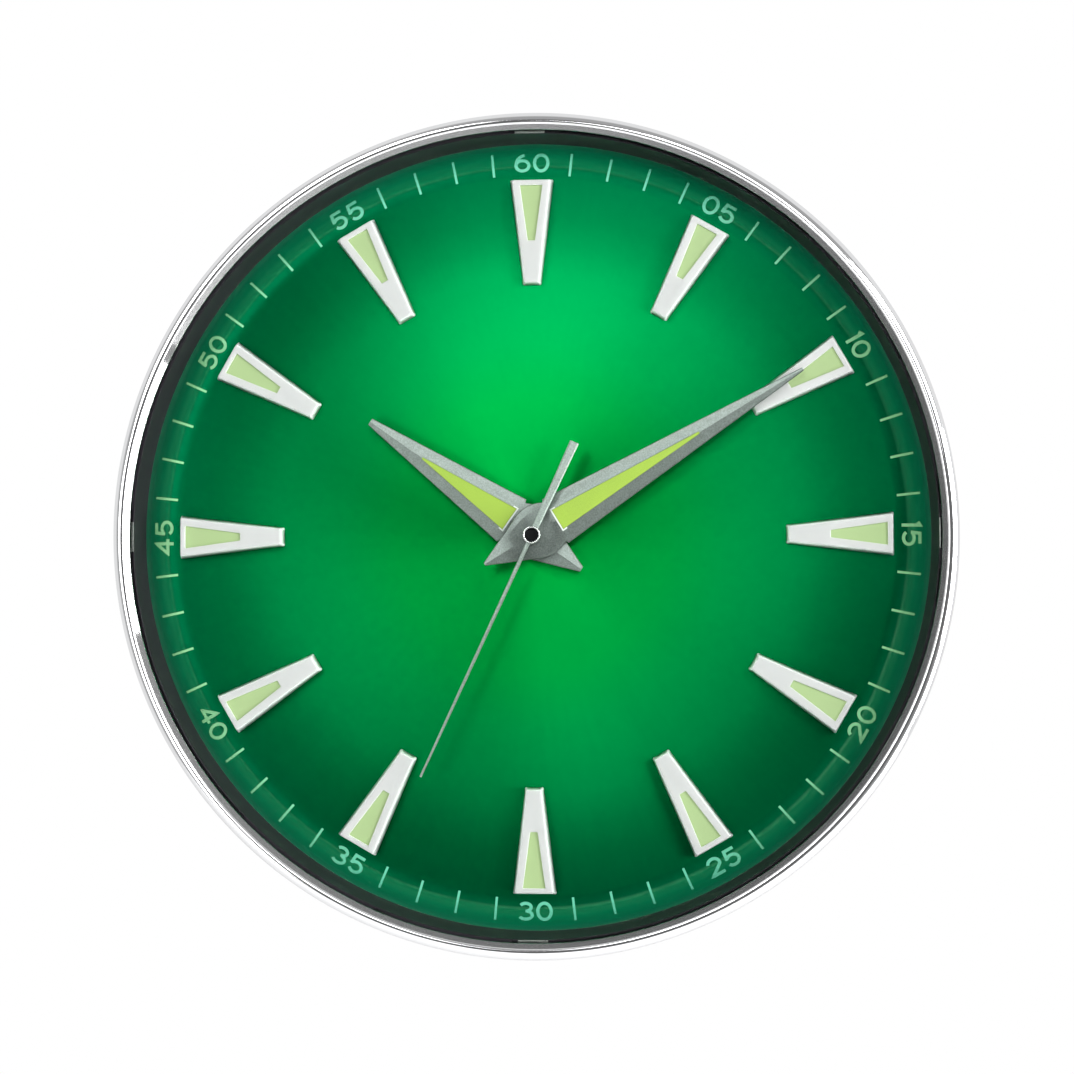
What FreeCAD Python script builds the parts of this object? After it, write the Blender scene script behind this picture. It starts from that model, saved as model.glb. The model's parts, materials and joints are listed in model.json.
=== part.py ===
import FreeCAD, Part
import math
import os
import Sketcher

# Round quartz wall clock, in millimetres.
# The hands turn about the Y axis. Y = 0 is the wall plane, and the dial faces -Y.
# +Z points to 12 o'clock and +X to 3 o'clock.
# A "depth" is a distance in front of the wall, so it lies at Y = -depth.

Vector = FreeCAD.Vector
doc = FreeCAD.newDocument("WallClock")

# ---------------------------------------------------------------- driving dimensions

DIMENSIONS = {
    # bezel, lens and the black wall round the dial
    "case_radius": 150.0,
    "skirt_depth": 8.0,
    "taper_depth": 14.0,
    "front_radius": 147.2,
    "front_round": 3.4,
    "crest_depth": 41.6,
    "crest_ease": 1.08,
    "crest_fall": 0.6,
    "lip_radius": 141.4,
    "lip_edge": 0.3,
    "lip_haunch": 0.6,
    "skin": 1.6,
    "lens_radius": 144.6,
    "lens_depth": 36.0,
    "lens_thickness": 2.0,
    "gasket_thickness": 0.6,
    "gasket_inset": 0.4,
    "wall_foot_radius": 140.4,
    "wall_top_radius": 140.7,
    "wall_top_bevel": 0.4,
    "wall_outer_radius": 142.9,
    "lens_pad_length": 10.5,
    "lens_pad_width": 0.9,
    "lens_pad_height": 0.6,
    "lens_pad_count": 4,
    # case ring and back plate
    "ring_inner_radius": 138.0,
    "ledge_width": 2.2,
    "flange_radius": 148.2,
    "flange_depth": 10.0,
    "flange_thickness": 2.0,
    "plate_seat_depth": 6.0,
    "plate_seat_gap": 0.1,
    "pan_thickness": 2.0,
    "window_half": 28.8,
    "rib_count": 8,
    "rib_width": 2.0,
    "rib_rise": 2.5,
    "rib_start": 42.8,
    "rib_end": 137.4,
    "keyhole_centre": 100.0,
    "keyhole_radius": 5.0,
    "keyhole_slot_width": 5.0,
    "keyhole_slot_rise": 12.0,
    # case screws
    "screw_count": 6,
    "screw_circle": 146.0,
    "screw_hole_radius": 1.5,
    "screw_radius": 1.1,
    "screw_length": 10.0,
    "screw_head_radius": 2.1,
    "screw_head_height": 1.6,
    "screw_cross_width": 0.6,
    "screw_cross_length": 2.4,
    "boss_radius": 2.9,
    "boss_length": 10.0,
    # dial
    "dial_depth": 24.0,
    "dial_thickness": 0.8,
    "dial_flat_radius": 127.0,
    "dial_edge_radius": 140.2,
    "dial_edge_drop": 2.8,
    # hour markers
    "marker_count": 12,
    "marker_outer": 127.0,
    "marker_inner": 89.2,
    "marker_outer_width": 15.7,
    "marker_inner_width": 6.7,
    "marker_height": 4.5,
    "marker_draft": 12.0,
    "marker_corner": 0.9,
    "marker_break": 104.5,
    "marker_fall": 0.9,
    "lume_outer": 124.3,
    "lume_inner": 104.6,
    "lume_outer_width": 8.0,
    "lume_inner_width": 2.6,
    "lume_recess": 1.2,
    "lume_thickness": 0.5,
    # hour and minute hands
    "hour_hand_depth": 27.7,
    "minute_hand_depth": 30.2,
    "hand_thickness": 1.3,
    "facet_fall": 0.8,
    "facet_half_width": 9.6,
    "boss_back_half": 7.8,
    "boss_back": -3.4,
    "boss_arc": 12.2,
    "waist_half": 8.0,
    "waist_to_shoulder": 0.6,
    "hand_lume_floor": 0.5,
    "hand_lume_thickness": 0.36,
    # second hand
    "second_hub_depth": 32.4,
    "second_hub_length": 2.9,
    "second_hub_radius": 3.1,
    "second_cup_radius": 2.4,
    "second_floor": 0.9,
    "second_grip": 1.4,
    "needle_thickness": 0.6,
    "needle_join": 2.7,
    "needle_tip": 93.3,
    "needle_tip_half": 0.375,
    "needle_root_half": 0.75,
    "counter_end": -35.8,
    "counter_end_half": 1.65,
    "counter_root_half": 1.15,
    # movement case
    "movement_half": 28.0,
    "movement_corner": 1.5,
    "movement_wall": 1.2,
    "cover_depth": 6.4,
    "housing_depth": 7.6,
    "housing_front": 22.4,
    "bay_low": -11.2,
    "bay_divider": 1.1,
    "battery_window_inset": 0.4,
    "post_radius": 1.5,
    "post_across": 22.0,
    "post_low": -9.0,
    "post_high": 23.0,
    "middle_depth": 16.8,
    "middle_thickness": 0.4,
    "middle_half": 24.0,
    "middle_low": -10.8,
    "middle_high": 25.5,
    # battery and contacts
    "cell_radius": 7.2,
    "cell_length": 49.0,
    "cell_nub": 1.4,
    "cell_nub_radius": 2.7,
    "cell_centre": -19.6,
    "cell_depth": 13.9,
    "contact_strip": 0.4,
    "contact_slot": 1.0,
    "contact_width": 8.0,
    "contact_low": -25.0,
    "contact_high": -4.0,
    "contact_spring_radius": 2.5,
    # circuit board, crystal and chip
    "board_left": -26.0,
    "board_right": -18.0,
    "board_low": -6.0,
    "board_high": 20.0,
    "board_thickness": 1.0,
    "crystal_radius": 1.0,
    "crystal_low": 7.0,
    "crystal_length": 6.0,
    "chip_radius": 2.6,
    "chip_height": 1.0,
    "chip_along": -0.5,
    # stepping motor
    "stator_thickness": 0.6,
    "stator_low": -8.0,
    "stator_high": 16.0,
    "stator_side": 4.2,
    "stator_arm": 3.0,
    "stator_window_side": 1.2,
    "stator_window_high": 1.5,
    "stator_slot_width": 1.5,
    "stator_hole_radius": 3.5,
    "coil_across": 22.5,
    "coil_depth": 13.9,
    "coil_low": -4.8,
    "coil_length": 17.6,
    "coil_radius": 2.3,
    "coil_leg_half": 1.1,
    "bobbin_radius": 1.5,
    "bobbin_flange_radius": 2.5,
    "bobbin_flange": 1.0,
    "magnet_radius": 3.0,
    "magnet_depth": 12.6,
    "magnet_length": 2.6,
    # centre stack
    "running_gap": 0.05,
    "fit_gap": 0.1,
    "pivot_radius": 0.45,
    "pivot_length": 0.7,
    "arbor_radius": 0.6,
    "centre_tube_radius": 1.3,
    "centre_tube_front": 24.0,
    "cannon_tube_radius": 1.9,
    "cannon_grip": 1.7,
    "hour_tube_radius": 2.6,
    "hour_grip": 1.6,
    "bushing_radius": 4.0,
    "bushing_front": 27.2,
    "bushing_flange": 1.2,
    "bushing_flange_thickness": 0.6,
    "gasket_half": 25.0,
    "nut_corner_radius": 6.3,
    "nut_thickness": 2.4,
    "washer_thickness": 0.5,
    "washer_radius": 7.5,
    "thrust_washer": 0.2,
    "motion_washer_radius": 2.0,
    "motion_washer_depth": 20.8,
    "hour_washer_radius": 4.8,
    "hour_washer_depth": 20.75,
    "setting_washer_radius": 2.4,
    "setting_washer_depth": 17.25,
    "stud_radius": 0.9,
    # going train: module, tooth counts, and the depth of each wheel's rear face
    "wheel_thickness": 0.8,
    "rotor_module": 0.25,
    "rotor_teeth": 10,
    "rotor_pinion_depth": 9.4,
    "rotor_pinion_length": 1.6,
    "intermediate_teeth": 60,
    "intermediate_leaves": 10,
    "intermediate_depth": 9.8,
    "intermediate_leaf_length": 2.1,
    "seconds_module": 0.33333333,
    "seconds_teeth": 50,
    "seconds_leaves": 8,
    "seconds_depth": 11.6,
    "seconds_leaf_length": 2.4,
    "third_module": 0.3,
    "third_teeth": 60,
    "third_leaves": 8,
    "third_depth": 13.6,
    "third_leaf_length": 2.2,
    "centre_teeth": 64,
    "centre_depth": 15.6,
    # motion work
    "motion_module": 0.5,
    "cannon_leaves": 12,
    "cannon_depth": 17.5,
    "cannon_leaf_length": 1.6,
    "motion_teeth": 36,
    "motion_leaves": 10,
    "motion_depth": 17.7,
    "motion_thickness": 1.0,
    "motion_leaf_length": 2.0,
    "hour_teeth": 40,
    "hour_wheel_depth": 19.6,
    "hour_wheel_thickness": 1.0,
    # hand setting
    "setting_leaves": 12,
    "setting_leaf_length": 1.4,
    "shaft_radius": 1.1,
    "shaft_back": 3.6,
    "setting_pivot_radius": 0.8,
    "knob_back": 3.0,
    "knob_front": 6.0,
    "knob_radius": 4.6,
    "knob_core_radius": 4.3,
    "knob_grips": 18,
    "knob_grip_width": 1.0,
}

CUT_MARGIN = 1.0                    # how far a cut runs past the face that it opens
EMBED = 0.2                         # how far a rib, post or stud runs into its wall

sheet = doc.addObject("Spreadsheet::Sheet", "Sizes")
for row, (alias, number) in enumerate(DIMENSIONS.items(), start=1):
    sheet.set(f"A{row}", alias)
    sheet.set(f"B{row}", str(number))
    sheet.setAlias(f"B{row}", alias)
doc.recompute()


class Size:
    """A number together with the sheet expression that gives it."""

    def __init__(self, value, text):
        self.value = value
        self.text = text

    def _combine(self, sign, other, value):
        return Size(value, f"({self.text} {sign} {size(other).text})")

    def __add__(self, other):
        return self._combine("+", other, self.value + size(other).value)

    def __sub__(self, other):
        return self._combine("-", other, self.value - size(other).value)

    def __mul__(self, other):
        return self._combine("*", other, self.value * size(other).value)

    def __truediv__(self, other):
        return self._combine("/", other, self.value / size(other).value)

    def __neg__(self):
        return Size(-self.value, f"(0 - {self.text})")


def size(number):
    """A Size as it is, or a plain number as a Size."""
    if isinstance(number, Size):
        return number
    return Size(float(number), f"({float(number)})")


class Sheet:
    """The driving dimensions by name, each as a Size tied to its cell."""

    def __getattr__(self, alias):
        return Size(float(DIMENSIONS[alias]), f"Sizes.{alias}")


D = Sheet()

# ---------------------------------------------------------------- sketches

ORIGIN_POINT = (-1, 1)             # how a constraint names the sketch's origin


def new_body(label):
    body = doc.addObject("PartDesign::Body", label)
    body.Label = label
    return body


def new_sketch(body, plane, lift=0.0, turn=0.0):
    """A sketch on one of the body's own planes, lifted along that plane's normal and
    turned about it."""
    sketch = body.newObject("Sketcher::SketchObject", f"{body.Name}_sketch")
    support = next(f for f in body.Origin.OriginFeatures if f.Role == plane)
    sketch.AttachmentSupport = [(support, "")]
    sketch.MapMode = "FlatFace"
    lift, turn = size(lift), size(turn)
    turned_by = FreeCAD.Rotation(Vector(0, 0, 1), turn.value)
    sketch.AttachmentOffset = FreeCAD.Placement(Vector(0, 0, lift.value), turned_by)
    sketch.setExpression("AttachmentOffset.Base.z", lift.text)
    if turn.value:
        sketch.setExpression("AttachmentOffset.Rotation.Angle", turn.text)
    return sketch


def front_sketch(body, depth=0.0, turn=0.0):
    """A sketch parallel to the dial: X to the right, Z up, normal towards the viewer."""
    return new_sketch(body, "XZ_Plane", depth, turn)


def bind(sketch, kind, elements, length):
    """Add one dimension to a sketch and tie it to its expression."""
    index = sketch.addConstraint(Sketcher.Constraint(kind, *elements, length.value))
    sketch.setExpression(f"Constraints[{index}]", length.text)


def pin_point(sketch, element, point, across, along):
    """Hold one point of an element at its two distances from the sketch's origin."""
    for kind, length in (("DistanceX", size(across)), ("DistanceY", size(along))):
        if length.value >= 0:
            bind(sketch, kind, (*ORIGIN_POINT, element, point), length)
        else:
            bind(sketch, kind, (element, point, *ORIGIN_POINT), -length)


def arc_between(start, end, radius, turn):
    """Arc from start to end; turn is 1 for anticlockwise travel and -1 for clockwise."""
    chord = end - start
    side = Vector(-chord.y, chord.x, 0).normalize() * turn
    centre = (start + end) / 2 + side * math.sqrt(radius ** 2 - (chord.Length / 2) ** 2)
    first, last = (start, end) if turn > 0 else (end, start)
    angles = [math.atan2(p.y - centre.y, p.x - centre.x) for p in (first, last)]
    return Part.ArcOfCircle(Part.Circle(centre, Vector(0, 0, 1), radius), *angles)


def draw_outline(sketch, points):
    """Closed outline. A point is (across, along), or (across, along, radius, turn)
    where the edge that leaves it is an arc."""
    places = [Vector(size(p[0]).value, size(p[1]).value, 0) for p in points]
    elements = []
    for index, point in enumerate(points):
        start = places[index]
        end = places[(index + 1) % len(points)]
        if len(point) == 4:
            radius, turn = size(point[2]), point[3]
            element = sketch.addGeometry(arc_between(start, end, radius.value, turn))
            elements.append((element, 1, 2) if turn > 0 else (element, 2, 1))
            bind(sketch, "Radius", (element,), radius)
        else:
            element = sketch.addGeometry(Part.LineSegment(start, end))
            elements.append((element, 1, 2))
    for index, point in enumerate(points):
        element, first, _ = elements[index]
        before, _, last = elements[index - 1]
        sketch.addConstraint(Sketcher.Constraint("Coincident", before, last, element, first))
        pin_point(sketch, element, first, point[0], point[1])


def draw_circle(sketch, radius, across=0.0, along=0.0):
    centre = Vector(size(across).value, size(along).value, 0)
    radius = size(radius)
    element = sketch.addGeometry(Part.Circle(centre, Vector(0, 0, 1), radius.value))
    bind(sketch, "Radius", (element,), radius)
    pin_point(sketch, element, 3, across, along)


def box_outline(left, right, low, high):
    return [(left, low), (right, low), (right, high), (left, high)]


def square_outline(half):
    return box_outline(-half, half, -half, half)


def mirrored_outline(half):
    """Outline symmetric about the vertical axis, from its right half listed upwards."""
    left = []
    for index, point in enumerate(half):
        arc = half[index - 1][2:] if index else ()
        left.insert(0, (-size(point[0]), point[1], *arc))
    return list(half[:-1]) + [half[-1][:2]] + left


# ---------------------------------------------------------------- features

def pad(body, sketch, length, draft=None):
    """Extrude a front sketch towards the viewer; draft narrows it on the way."""
    feature = body.newObject("PartDesign::Pad", f"{body.Name}_pad")
    feature.Profile = sketch
    feature.setExpression("Length", size(length).text)
    if draft is not None:
        feature.setExpression("TaperAngle", (-draft).text)
    return feature


def pocket(body, sketch, length):
    """Cut from a front sketch towards the wall."""
    feature = body.newObject("PartDesign::Pocket", f"{body.Name}_pocket")
    feature.Profile = sketch
    feature.setExpression("Length", size(length).text)
    return feature


def cut_through(body, sketch):
    """Cut through everything on both sides of a sketch."""
    feature = body.newObject("PartDesign::Pocket", f"{body.Name}_cut")
    feature.Profile = sketch
    feature.Type = "ThroughAll"
    feature.Midplane = True
    return feature


def repeat_round(body, features, sketch, count):
    """Repeat features evenly round the hand axis."""
    pattern = body.newObject("PartDesign::PolarPattern", f"{body.Name}_round")
    pattern.Originals = features
    pattern.Axis = (sketch, ["N_Axis"])
    pattern.Angle = 360
    pattern.setExpression("Occurrences", size(count).text)
    body.Tip = pattern
    return pattern


def round_edges(body, base, radius, wanted):
    """Fillet the edges of the base feature that the wanted test picks."""
    doc.recompute()
    names = [f"Edge{n}" for n, edge in enumerate(base.Shape.Edges, start=1) if wanted(edge)]
    fillet = body.newObject("PartDesign::Fillet", f"{body.Name}_fillet")
    fillet.Base = (base, names)
    fillet.setExpression("Radius", size(radius).text)
    return fillet


def runs_to_the_front(edge):
    """True for an edge that joins a front face to a rear face."""
    ends = [vertex.Point.y for vertex in edge.Vertexes]
    longest_slack = 1.0
    return len(ends) == 2 and abs(ends[0] - ends[1]) > longest_slack


def turned(label, section):
    """A body of revolution about the hand axis. The section is listed as (radius, depth),
    with arcs as in draw_outline."""
    body = new_body(label)
    sketch = new_sketch(body, "XY_Plane")
    points = []
    for radius, depth, *arc in section:
        arc = (arc[0], -arc[1]) if arc else ()
        points.append((radius, -size(depth), *arc))
    draw_outline(sketch, points)
    feature = body.newObject("PartDesign::Revolution", f"{label}_turned")
    feature.Profile = sketch
    feature.ReferenceAxis = (sketch, ["V_Axis"])
    feature.Angle = 360
    return body


def ring(label, inner, outer, depth, thickness):
    front = size(depth) + thickness
    return turned(label, [(inner, depth), (outer, depth), (outer, front), (inner, front)])


def add_plate(body, outline, depth, thickness):
    sketch = front_sketch(body, depth)
    draw_outline(sketch, outline)
    return pad(body, sketch, thickness)


def add_disc(body, radius, depth, thickness, across=0.0, along=0.0):
    sketch = front_sketch(body, depth)
    draw_circle(sketch, radius, across, along)
    return pad(body, sketch, thickness)


def recess(body, outline, front, length):
    """Cut an outline from the depth of its front end towards the wall."""
    sketch = front_sketch(body, front)
    draw_outline(sketch, outline)
    return pocket(body, sketch, length)


def drill(body, radius, across=0.0, along=0.0):
    sketch = front_sketch(body)
    draw_circle(sketch, radius, across, along)
    return cut_through(body, sketch)


def drill_blind(body, radius, front, length, across=0.0, along=0.0):
    """Round hole from the depth of its front end towards the wall."""
    sketch = front_sketch(body, front)
    draw_circle(sketch, radius, across, along)
    return pocket(body, sketch, length)


def place(body, clockwise=0.0, across=0.0, along=0.0):
    """Turn a body clockwise about the hand axis, as the viewer sees it, then move it."""
    turn = FreeCAD.Rotation(Vector(0, 1, 0), clockwise)
    body.Placement = FreeCAD.Placement(Vector(across, 0, along), turn)


def easing_radius(run, drop):
    """Radius of an arc that starts level and falls by drop over run."""
    return (run * run + drop * drop) / (drop * 2)


# ---------------------------------------------------------------- case

def make_bezel():
    """Chromed ring: straight skirt, slight taper, rounded front, and a steep cone that
    falls to the lens."""
    inner_skirt = D.case_radius - D.skin
    inner_front = D.front_radius - D.skin
    crest_radius = D.front_radius - D.front_round
    lip_back = D.lens_depth + D.lens_thickness + D.gasket_thickness
    body = turned("bezel_ring", [
        (inner_skirt, D.skirt_depth),
        (D.case_radius, D.skirt_depth),
        (D.case_radius, D.taper_depth),
        (D.front_radius, D.crest_depth - D.front_round, D.front_round, 1),
        (crest_radius, D.crest_depth, easing_radius(D.crest_ease, D.crest_fall), 1),
        (crest_radius - D.crest_ease, D.crest_depth - D.crest_fall),
        (D.lip_radius, lip_back + D.lip_edge),
        (D.lip_radius, lip_back),
        (inner_front - D.lip_haunch, lip_back),
        (inner_front, lip_back - D.lip_haunch),
        (inner_skirt, D.taper_depth),
    ])
    boss_depth = D.flange_depth + D.flange_thickness
    sketch = front_sketch(body, boss_depth)
    draw_circle(sketch, D.boss_radius, 0.0, D.screw_circle)
    boss = pad(body, sketch, D.boss_length)
    repeat_round(body, [boss], sketch, D.screw_count)
    tip = D.flange_depth + D.screw_length
    sketch = front_sketch(body, tip)
    draw_circle(sketch, D.screw_radius, 0.0, D.screw_circle)
    core = pocket(body, sketch, tip - boss_depth)
    repeat_round(body, [core], sketch, D.screw_count)


def make_surround():
    """Black wall between dial and lens, with a seat for each lens pad in its top."""
    body = turned("dial_surround", [
        (D.wall_foot_radius, D.dial_depth - D.dial_edge_drop),
        (D.wall_outer_radius, D.dial_depth - D.dial_edge_drop),
        (D.wall_outer_radius, D.lens_depth),
        (D.wall_top_radius + D.wall_top_bevel, D.lens_depth),
        (D.wall_top_radius, D.lens_depth - D.wall_top_bevel),
    ])
    sketch = front_sketch(body, D.lens_depth)
    half = D.lens_pad_length / 2
    draw_outline(sketch, box_outline(-half, half, D.wall_top_radius - CUT_MARGIN,
                                     D.wall_top_radius + D.lens_pad_width))
    seat = pocket(body, sketch, D.lens_pad_height)
    repeat_round(body, [seat], sketch, D.lens_pad_count)


def make_lens_pads():
    """Four light pads at the quarters, between the black wall and the lens."""
    body = new_body("lens_pads")
    sketch = front_sketch(body, D.lens_depth - D.lens_pad_height)
    half = D.lens_pad_length / 2
    draw_outline(sketch, box_outline(-half, half, D.wall_top_radius + D.fit_gap,
                                     D.wall_top_radius + D.lens_pad_width))
    block = pad(body, sketch, D.lens_pad_height)
    repeat_round(body, [block], sketch, D.lens_pad_count)


def make_dial():
    """Sheet dial: flat middle, edge rolled back, and a flange held under the black wall."""
    back = D.dial_depth - D.dial_thickness
    run = D.dial_edge_radius - D.dial_flat_radius
    roll = easing_radius(run, D.dial_edge_drop)
    hole = D.bushing_radius + D.fit_gap
    turned("dial_plate", [
        (hole, back),
        (D.dial_flat_radius, back, roll, -1),
        (D.dial_edge_radius, back - D.dial_edge_drop),
        (D.wall_outer_radius, back - D.dial_edge_drop),
        (D.wall_outer_radius, D.dial_depth - D.dial_edge_drop),
        (D.dial_edge_radius, D.dial_depth - D.dial_edge_drop, roll, 1),
        (D.dial_flat_radius, D.dial_depth),
        (hole, D.dial_depth),
    ])


def make_case_ring():
    """Moulded ring: rim against the wall, flange for the screws, ledge under the dial,
    and an inner shoulder that the back plate sits on."""
    flange_front = D.flange_depth + D.flange_thickness
    ledge = D.dial_depth - D.dial_thickness - D.dial_edge_drop
    ledge_inner = D.wall_outer_radius - D.ledge_width
    body = turned("case_ring", [
        (D.ring_inner_radius, 0.0),
        (D.wall_outer_radius, 0.0),
        (D.wall_outer_radius, D.flange_depth),
        (D.flange_radius, D.flange_depth),
        (D.flange_radius, flange_front),
        (D.wall_outer_radius, flange_front),
        (D.wall_outer_radius, ledge),
        (ledge_inner, ledge),
        (ledge_inner, D.plate_seat_depth),
        (D.ring_inner_radius, D.plate_seat_depth),
    ])
    sketch = front_sketch(body)
    draw_circle(sketch, D.screw_hole_radius, 0.0, D.screw_circle)
    screw_hole = cut_through(body, sketch)
    repeat_round(body, [screw_hole], sketch, D.screw_count)


def make_back_plate():
    """Ribbed plate on the ring's shoulder, with the movement's window and the keyhole."""
    body = new_body("back_plate")
    plate_radius = D.wall_outer_radius - D.ledge_width - D.plate_seat_gap
    add_disc(body, plate_radius, D.plate_seat_depth, D.pan_thickness)
    rib_depth = D.plate_seat_depth - D.rib_rise
    add_plate(body, square_outline(D.window_half + D.rib_width), rib_depth, D.rib_rise + EMBED)
    sketch = front_sketch(body, rib_depth, size(180) / D.rib_count)
    half_rib = D.rib_width / 2
    draw_outline(sketch, box_outline(-half_rib, half_rib, D.rib_start, D.rib_end))
    rib = pad(body, sketch, D.rib_rise + EMBED)
    repeat_round(body, [rib], sketch, D.rib_count)
    window = front_sketch(body)
    draw_outline(window, square_outline(D.window_half))
    cut_through(body, window)
    drill(body, D.keyhole_radius, 0.0, D.keyhole_centre)
    half_slot = D.keyhole_slot_width / 2
    slot = front_sketch(body)
    draw_outline(slot, box_outline(-half_slot, half_slot, D.keyhole_centre,
                                   D.keyhole_centre + D.keyhole_slot_rise))
    cut_through(body, slot)


def make_case_screws():
    """Pan-head screws from behind, through the flange into the bezel's bosses."""
    body = new_body("case_screws")
    head_depth = D.flange_depth - D.screw_head_height
    sketch = front_sketch(body, head_depth)
    draw_circle(sketch, D.screw_head_radius, 0.0, D.screw_circle)
    head = pad(body, sketch, D.screw_head_height)
    sketch = front_sketch(body, D.flange_depth)
    draw_circle(sketch, D.screw_radius, 0.0, D.screw_circle)
    shank = pad(body, sketch, D.screw_length)
    half_width, half_length = D.screw_cross_width / 2, D.screw_cross_length / 2
    cross = []
    for across, along in ((half_width, half_length), (half_length, half_width)):
        groove = front_sketch(body, head_depth + D.screw_head_height / 2)
        draw_outline(groove, box_outline(-across, across, D.screw_circle - along,
                                         D.screw_circle + along))
        cross.append(pocket(body, groove, D.screw_head_height))
    repeat_round(body, [head, shank, *cross], sketch, D.screw_count)


def make_case():
    make_bezel()
    ring("lens_glass", 0.0, D.lens_radius, D.lens_depth, D.lens_thickness)
    ring("lens_gasket", D.lip_radius + D.gasket_inset, D.lens_radius,
         D.lens_depth + D.lens_thickness, D.gasket_thickness)
    make_lens_pads()
    make_surround()
    make_dial()
    make_case_ring()
    make_back_plate()
    make_case_screws()


# ---------------------------------------------------------------- hour markers

def lume_outline():
    """The pale insert narrows towards the centre of the dial."""
    return mirrored_outline([(D.lume_inner_width / 2, D.lume_inner),
                             (D.lume_outer_width / 2, D.lume_outer)])


def make_marker(hour):
    """Raised block with drafted walls, a recess for its insert and a falling inner half."""
    body = new_body(f"hour_marker_{hour:02d}")
    top = D.dial_depth + D.marker_height
    sketch = front_sketch(body, D.dial_depth)
    draw_outline(sketch, mirrored_outline([(D.marker_inner_width / 2, D.marker_inner),
                                           (D.marker_outer_width / 2, D.marker_outer)]))
    block = pad(body, sketch, D.marker_height, draft=D.marker_draft)
    round_edges(body, block, D.marker_corner, runs_to_the_front)
    sketch = new_sketch(body, "YZ_Plane")
    draw_outline(sketch, [
        (-top, D.marker_break),
        (-(top + CUT_MARGIN), D.marker_break),
        (-(top + CUT_MARGIN), D.marker_inner),
        (D.marker_fall - top, D.marker_inner),
    ])
    cut_through(body, sketch)
    recess(body, lume_outline(), top, D.lume_recess)
    place(body, clockwise=360.0 * hour / DIMENSIONS["marker_count"])


def make_markers():
    for hour in range(1, DIMENSIONS["marker_count"] + 1):
        make_marker(hour)
    inlays = new_body("marker_inlays")
    sketch = front_sketch(inlays, D.dial_depth + D.marker_height - D.lume_recess)
    draw_outline(sketch, lume_outline())
    inlay = pad(inlays, sketch, D.lume_thickness)
    repeat_round(inlays, [inlay], sketch, D.marker_count)


# ---------------------------------------------------------------- hands

class Hand:
    """Proportions of one kite-shaped hand, drawn pointing to 12 o'clock. The corners are
    (half width, distance from the axis), with the tail on the negative side."""

    def __init__(self, name, depth, bore, bearing, tail, shoulder, tip, lume_back, lume_tip):
        self.name = name
        self.depth = depth
        self.bore = bore
        self.bearing = bearing
        self.tail = tail
        self.shoulder = shoulder
        self.tip = tip
        self.lume_back = lume_back
        self.lume_tip = lume_tip

    def outline(self):
        """Tail, rounded boss, small waist, then the long straight blade."""
        return mirrored_outline([
            self.tail,
            (D.boss_back_half, D.boss_back, D.boss_arc, 1),
            (D.waist_half, -D.waist_to_shoulder + self.shoulder[1]),
            self.shoulder,
            self.tip,
        ])

    def lume_outline(self):
        return mirrored_outline([self.lume_back, self.lume_tip])


HOUR_HAND = Hand("hour_hand", D.hour_hand_depth, D.hour_tube_radius, bearing=305.2,
                 tail=(1.1, -21.0), shoulder=(9.1, 9.2), tip=(1.4, 70.5),
                 lume_back=(4.5, 9.9), lume_tip=(0.45, 47.8))
MINUTE_HAND = Hand("minute_hand", D.minute_hand_depth, D.cannon_tube_radius, bearing=58.8,
                   tail=(0.6, -19.7), shoulder=(9.0, 9.6), tip=(0.6, 111.0),
                   lume_back=(4.0, 10.4), lume_tip=(0.5, 68.7))
SECOND_BEARING = 205.0


def make_hand(hand):
    """Sheet hand with a centre ridge, two falling facets and a recess for its insert."""
    body = new_body(hand.name)
    ridge = hand.depth + D.hand_thickness
    edge = ridge - D.facet_fall
    add_plate(body, hand.outline(), hand.depth, D.hand_thickness)
    roof = new_sketch(body, "XY_Plane")
    draw_outline(roof, [
        (-D.facet_half_width, -edge),
        (-D.facet_half_width, -(ridge + CUT_MARGIN)),
        (D.facet_half_width, -(ridge + CUT_MARGIN)),
        (D.facet_half_width, -edge),
        (0.0, -ridge),
    ])
    cut_through(body, roof)
    recess(body, hand.lume_outline(), ridge, D.hand_lume_floor)
    drill(body, hand.bore)
    place(body, clockwise=hand.bearing)

    inlay = new_body(f"{hand.name}_inlay")
    add_plate(inlay, hand.lume_outline(), ridge - D.hand_lume_floor, D.hand_lume_thickness)
    place(inlay, clockwise=hand.bearing)


def make_second_hand():
    """Needle and counterweight on a hub that is an open cup."""
    body = new_body("second_hand")
    hub_front = D.second_hub_depth + D.second_hub_length
    add_disc(body, D.second_hub_radius, D.second_hub_depth, D.second_hub_length)
    needle_depth = D.second_hub_depth + D.second_floor
    outline = mirrored_outline([
        (D.counter_end_half, D.counter_end),
        (D.counter_root_half, -D.needle_join),
        (D.needle_root_half, D.needle_join),
        (D.needle_tip_half, D.needle_tip),
    ])
    add_plate(body, outline, needle_depth, D.needle_thickness)
    drill_blind(body, D.second_cup_radius, hub_front, D.second_hub_length - D.second_floor)
    drill(body, D.arbor_radius)
    place(body, clockwise=SECOND_BEARING)


def make_hands():
    make_hand(HOUR_HAND)
    make_hand(MINUTE_HAND)
    make_second_hand()


# ---------------------------------------------------------------- where the arbors stand

def at_bearing(distance, bearing, origin=(0.0, 0.0)):
    """Point at a distance and a clockwise bearing from the origin."""
    angle = math.radians(bearing)
    return (origin[0] + distance * math.sin(angle), origin[1] + distance * math.cos(angle))


def mesh_distance(module, first_teeth, second_teeth):
    return module * (first_teeth + second_teeth) / 2


THIRD_BEARING = -45.0
INTERMEDIATE_BEARING = 45.0
ROTOR_BEARING = 90.0                # from the intermediate arbor
MOTION_BEARING = -45.0
SETTING_BEARING = 30.0              # from the motion arbor

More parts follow.
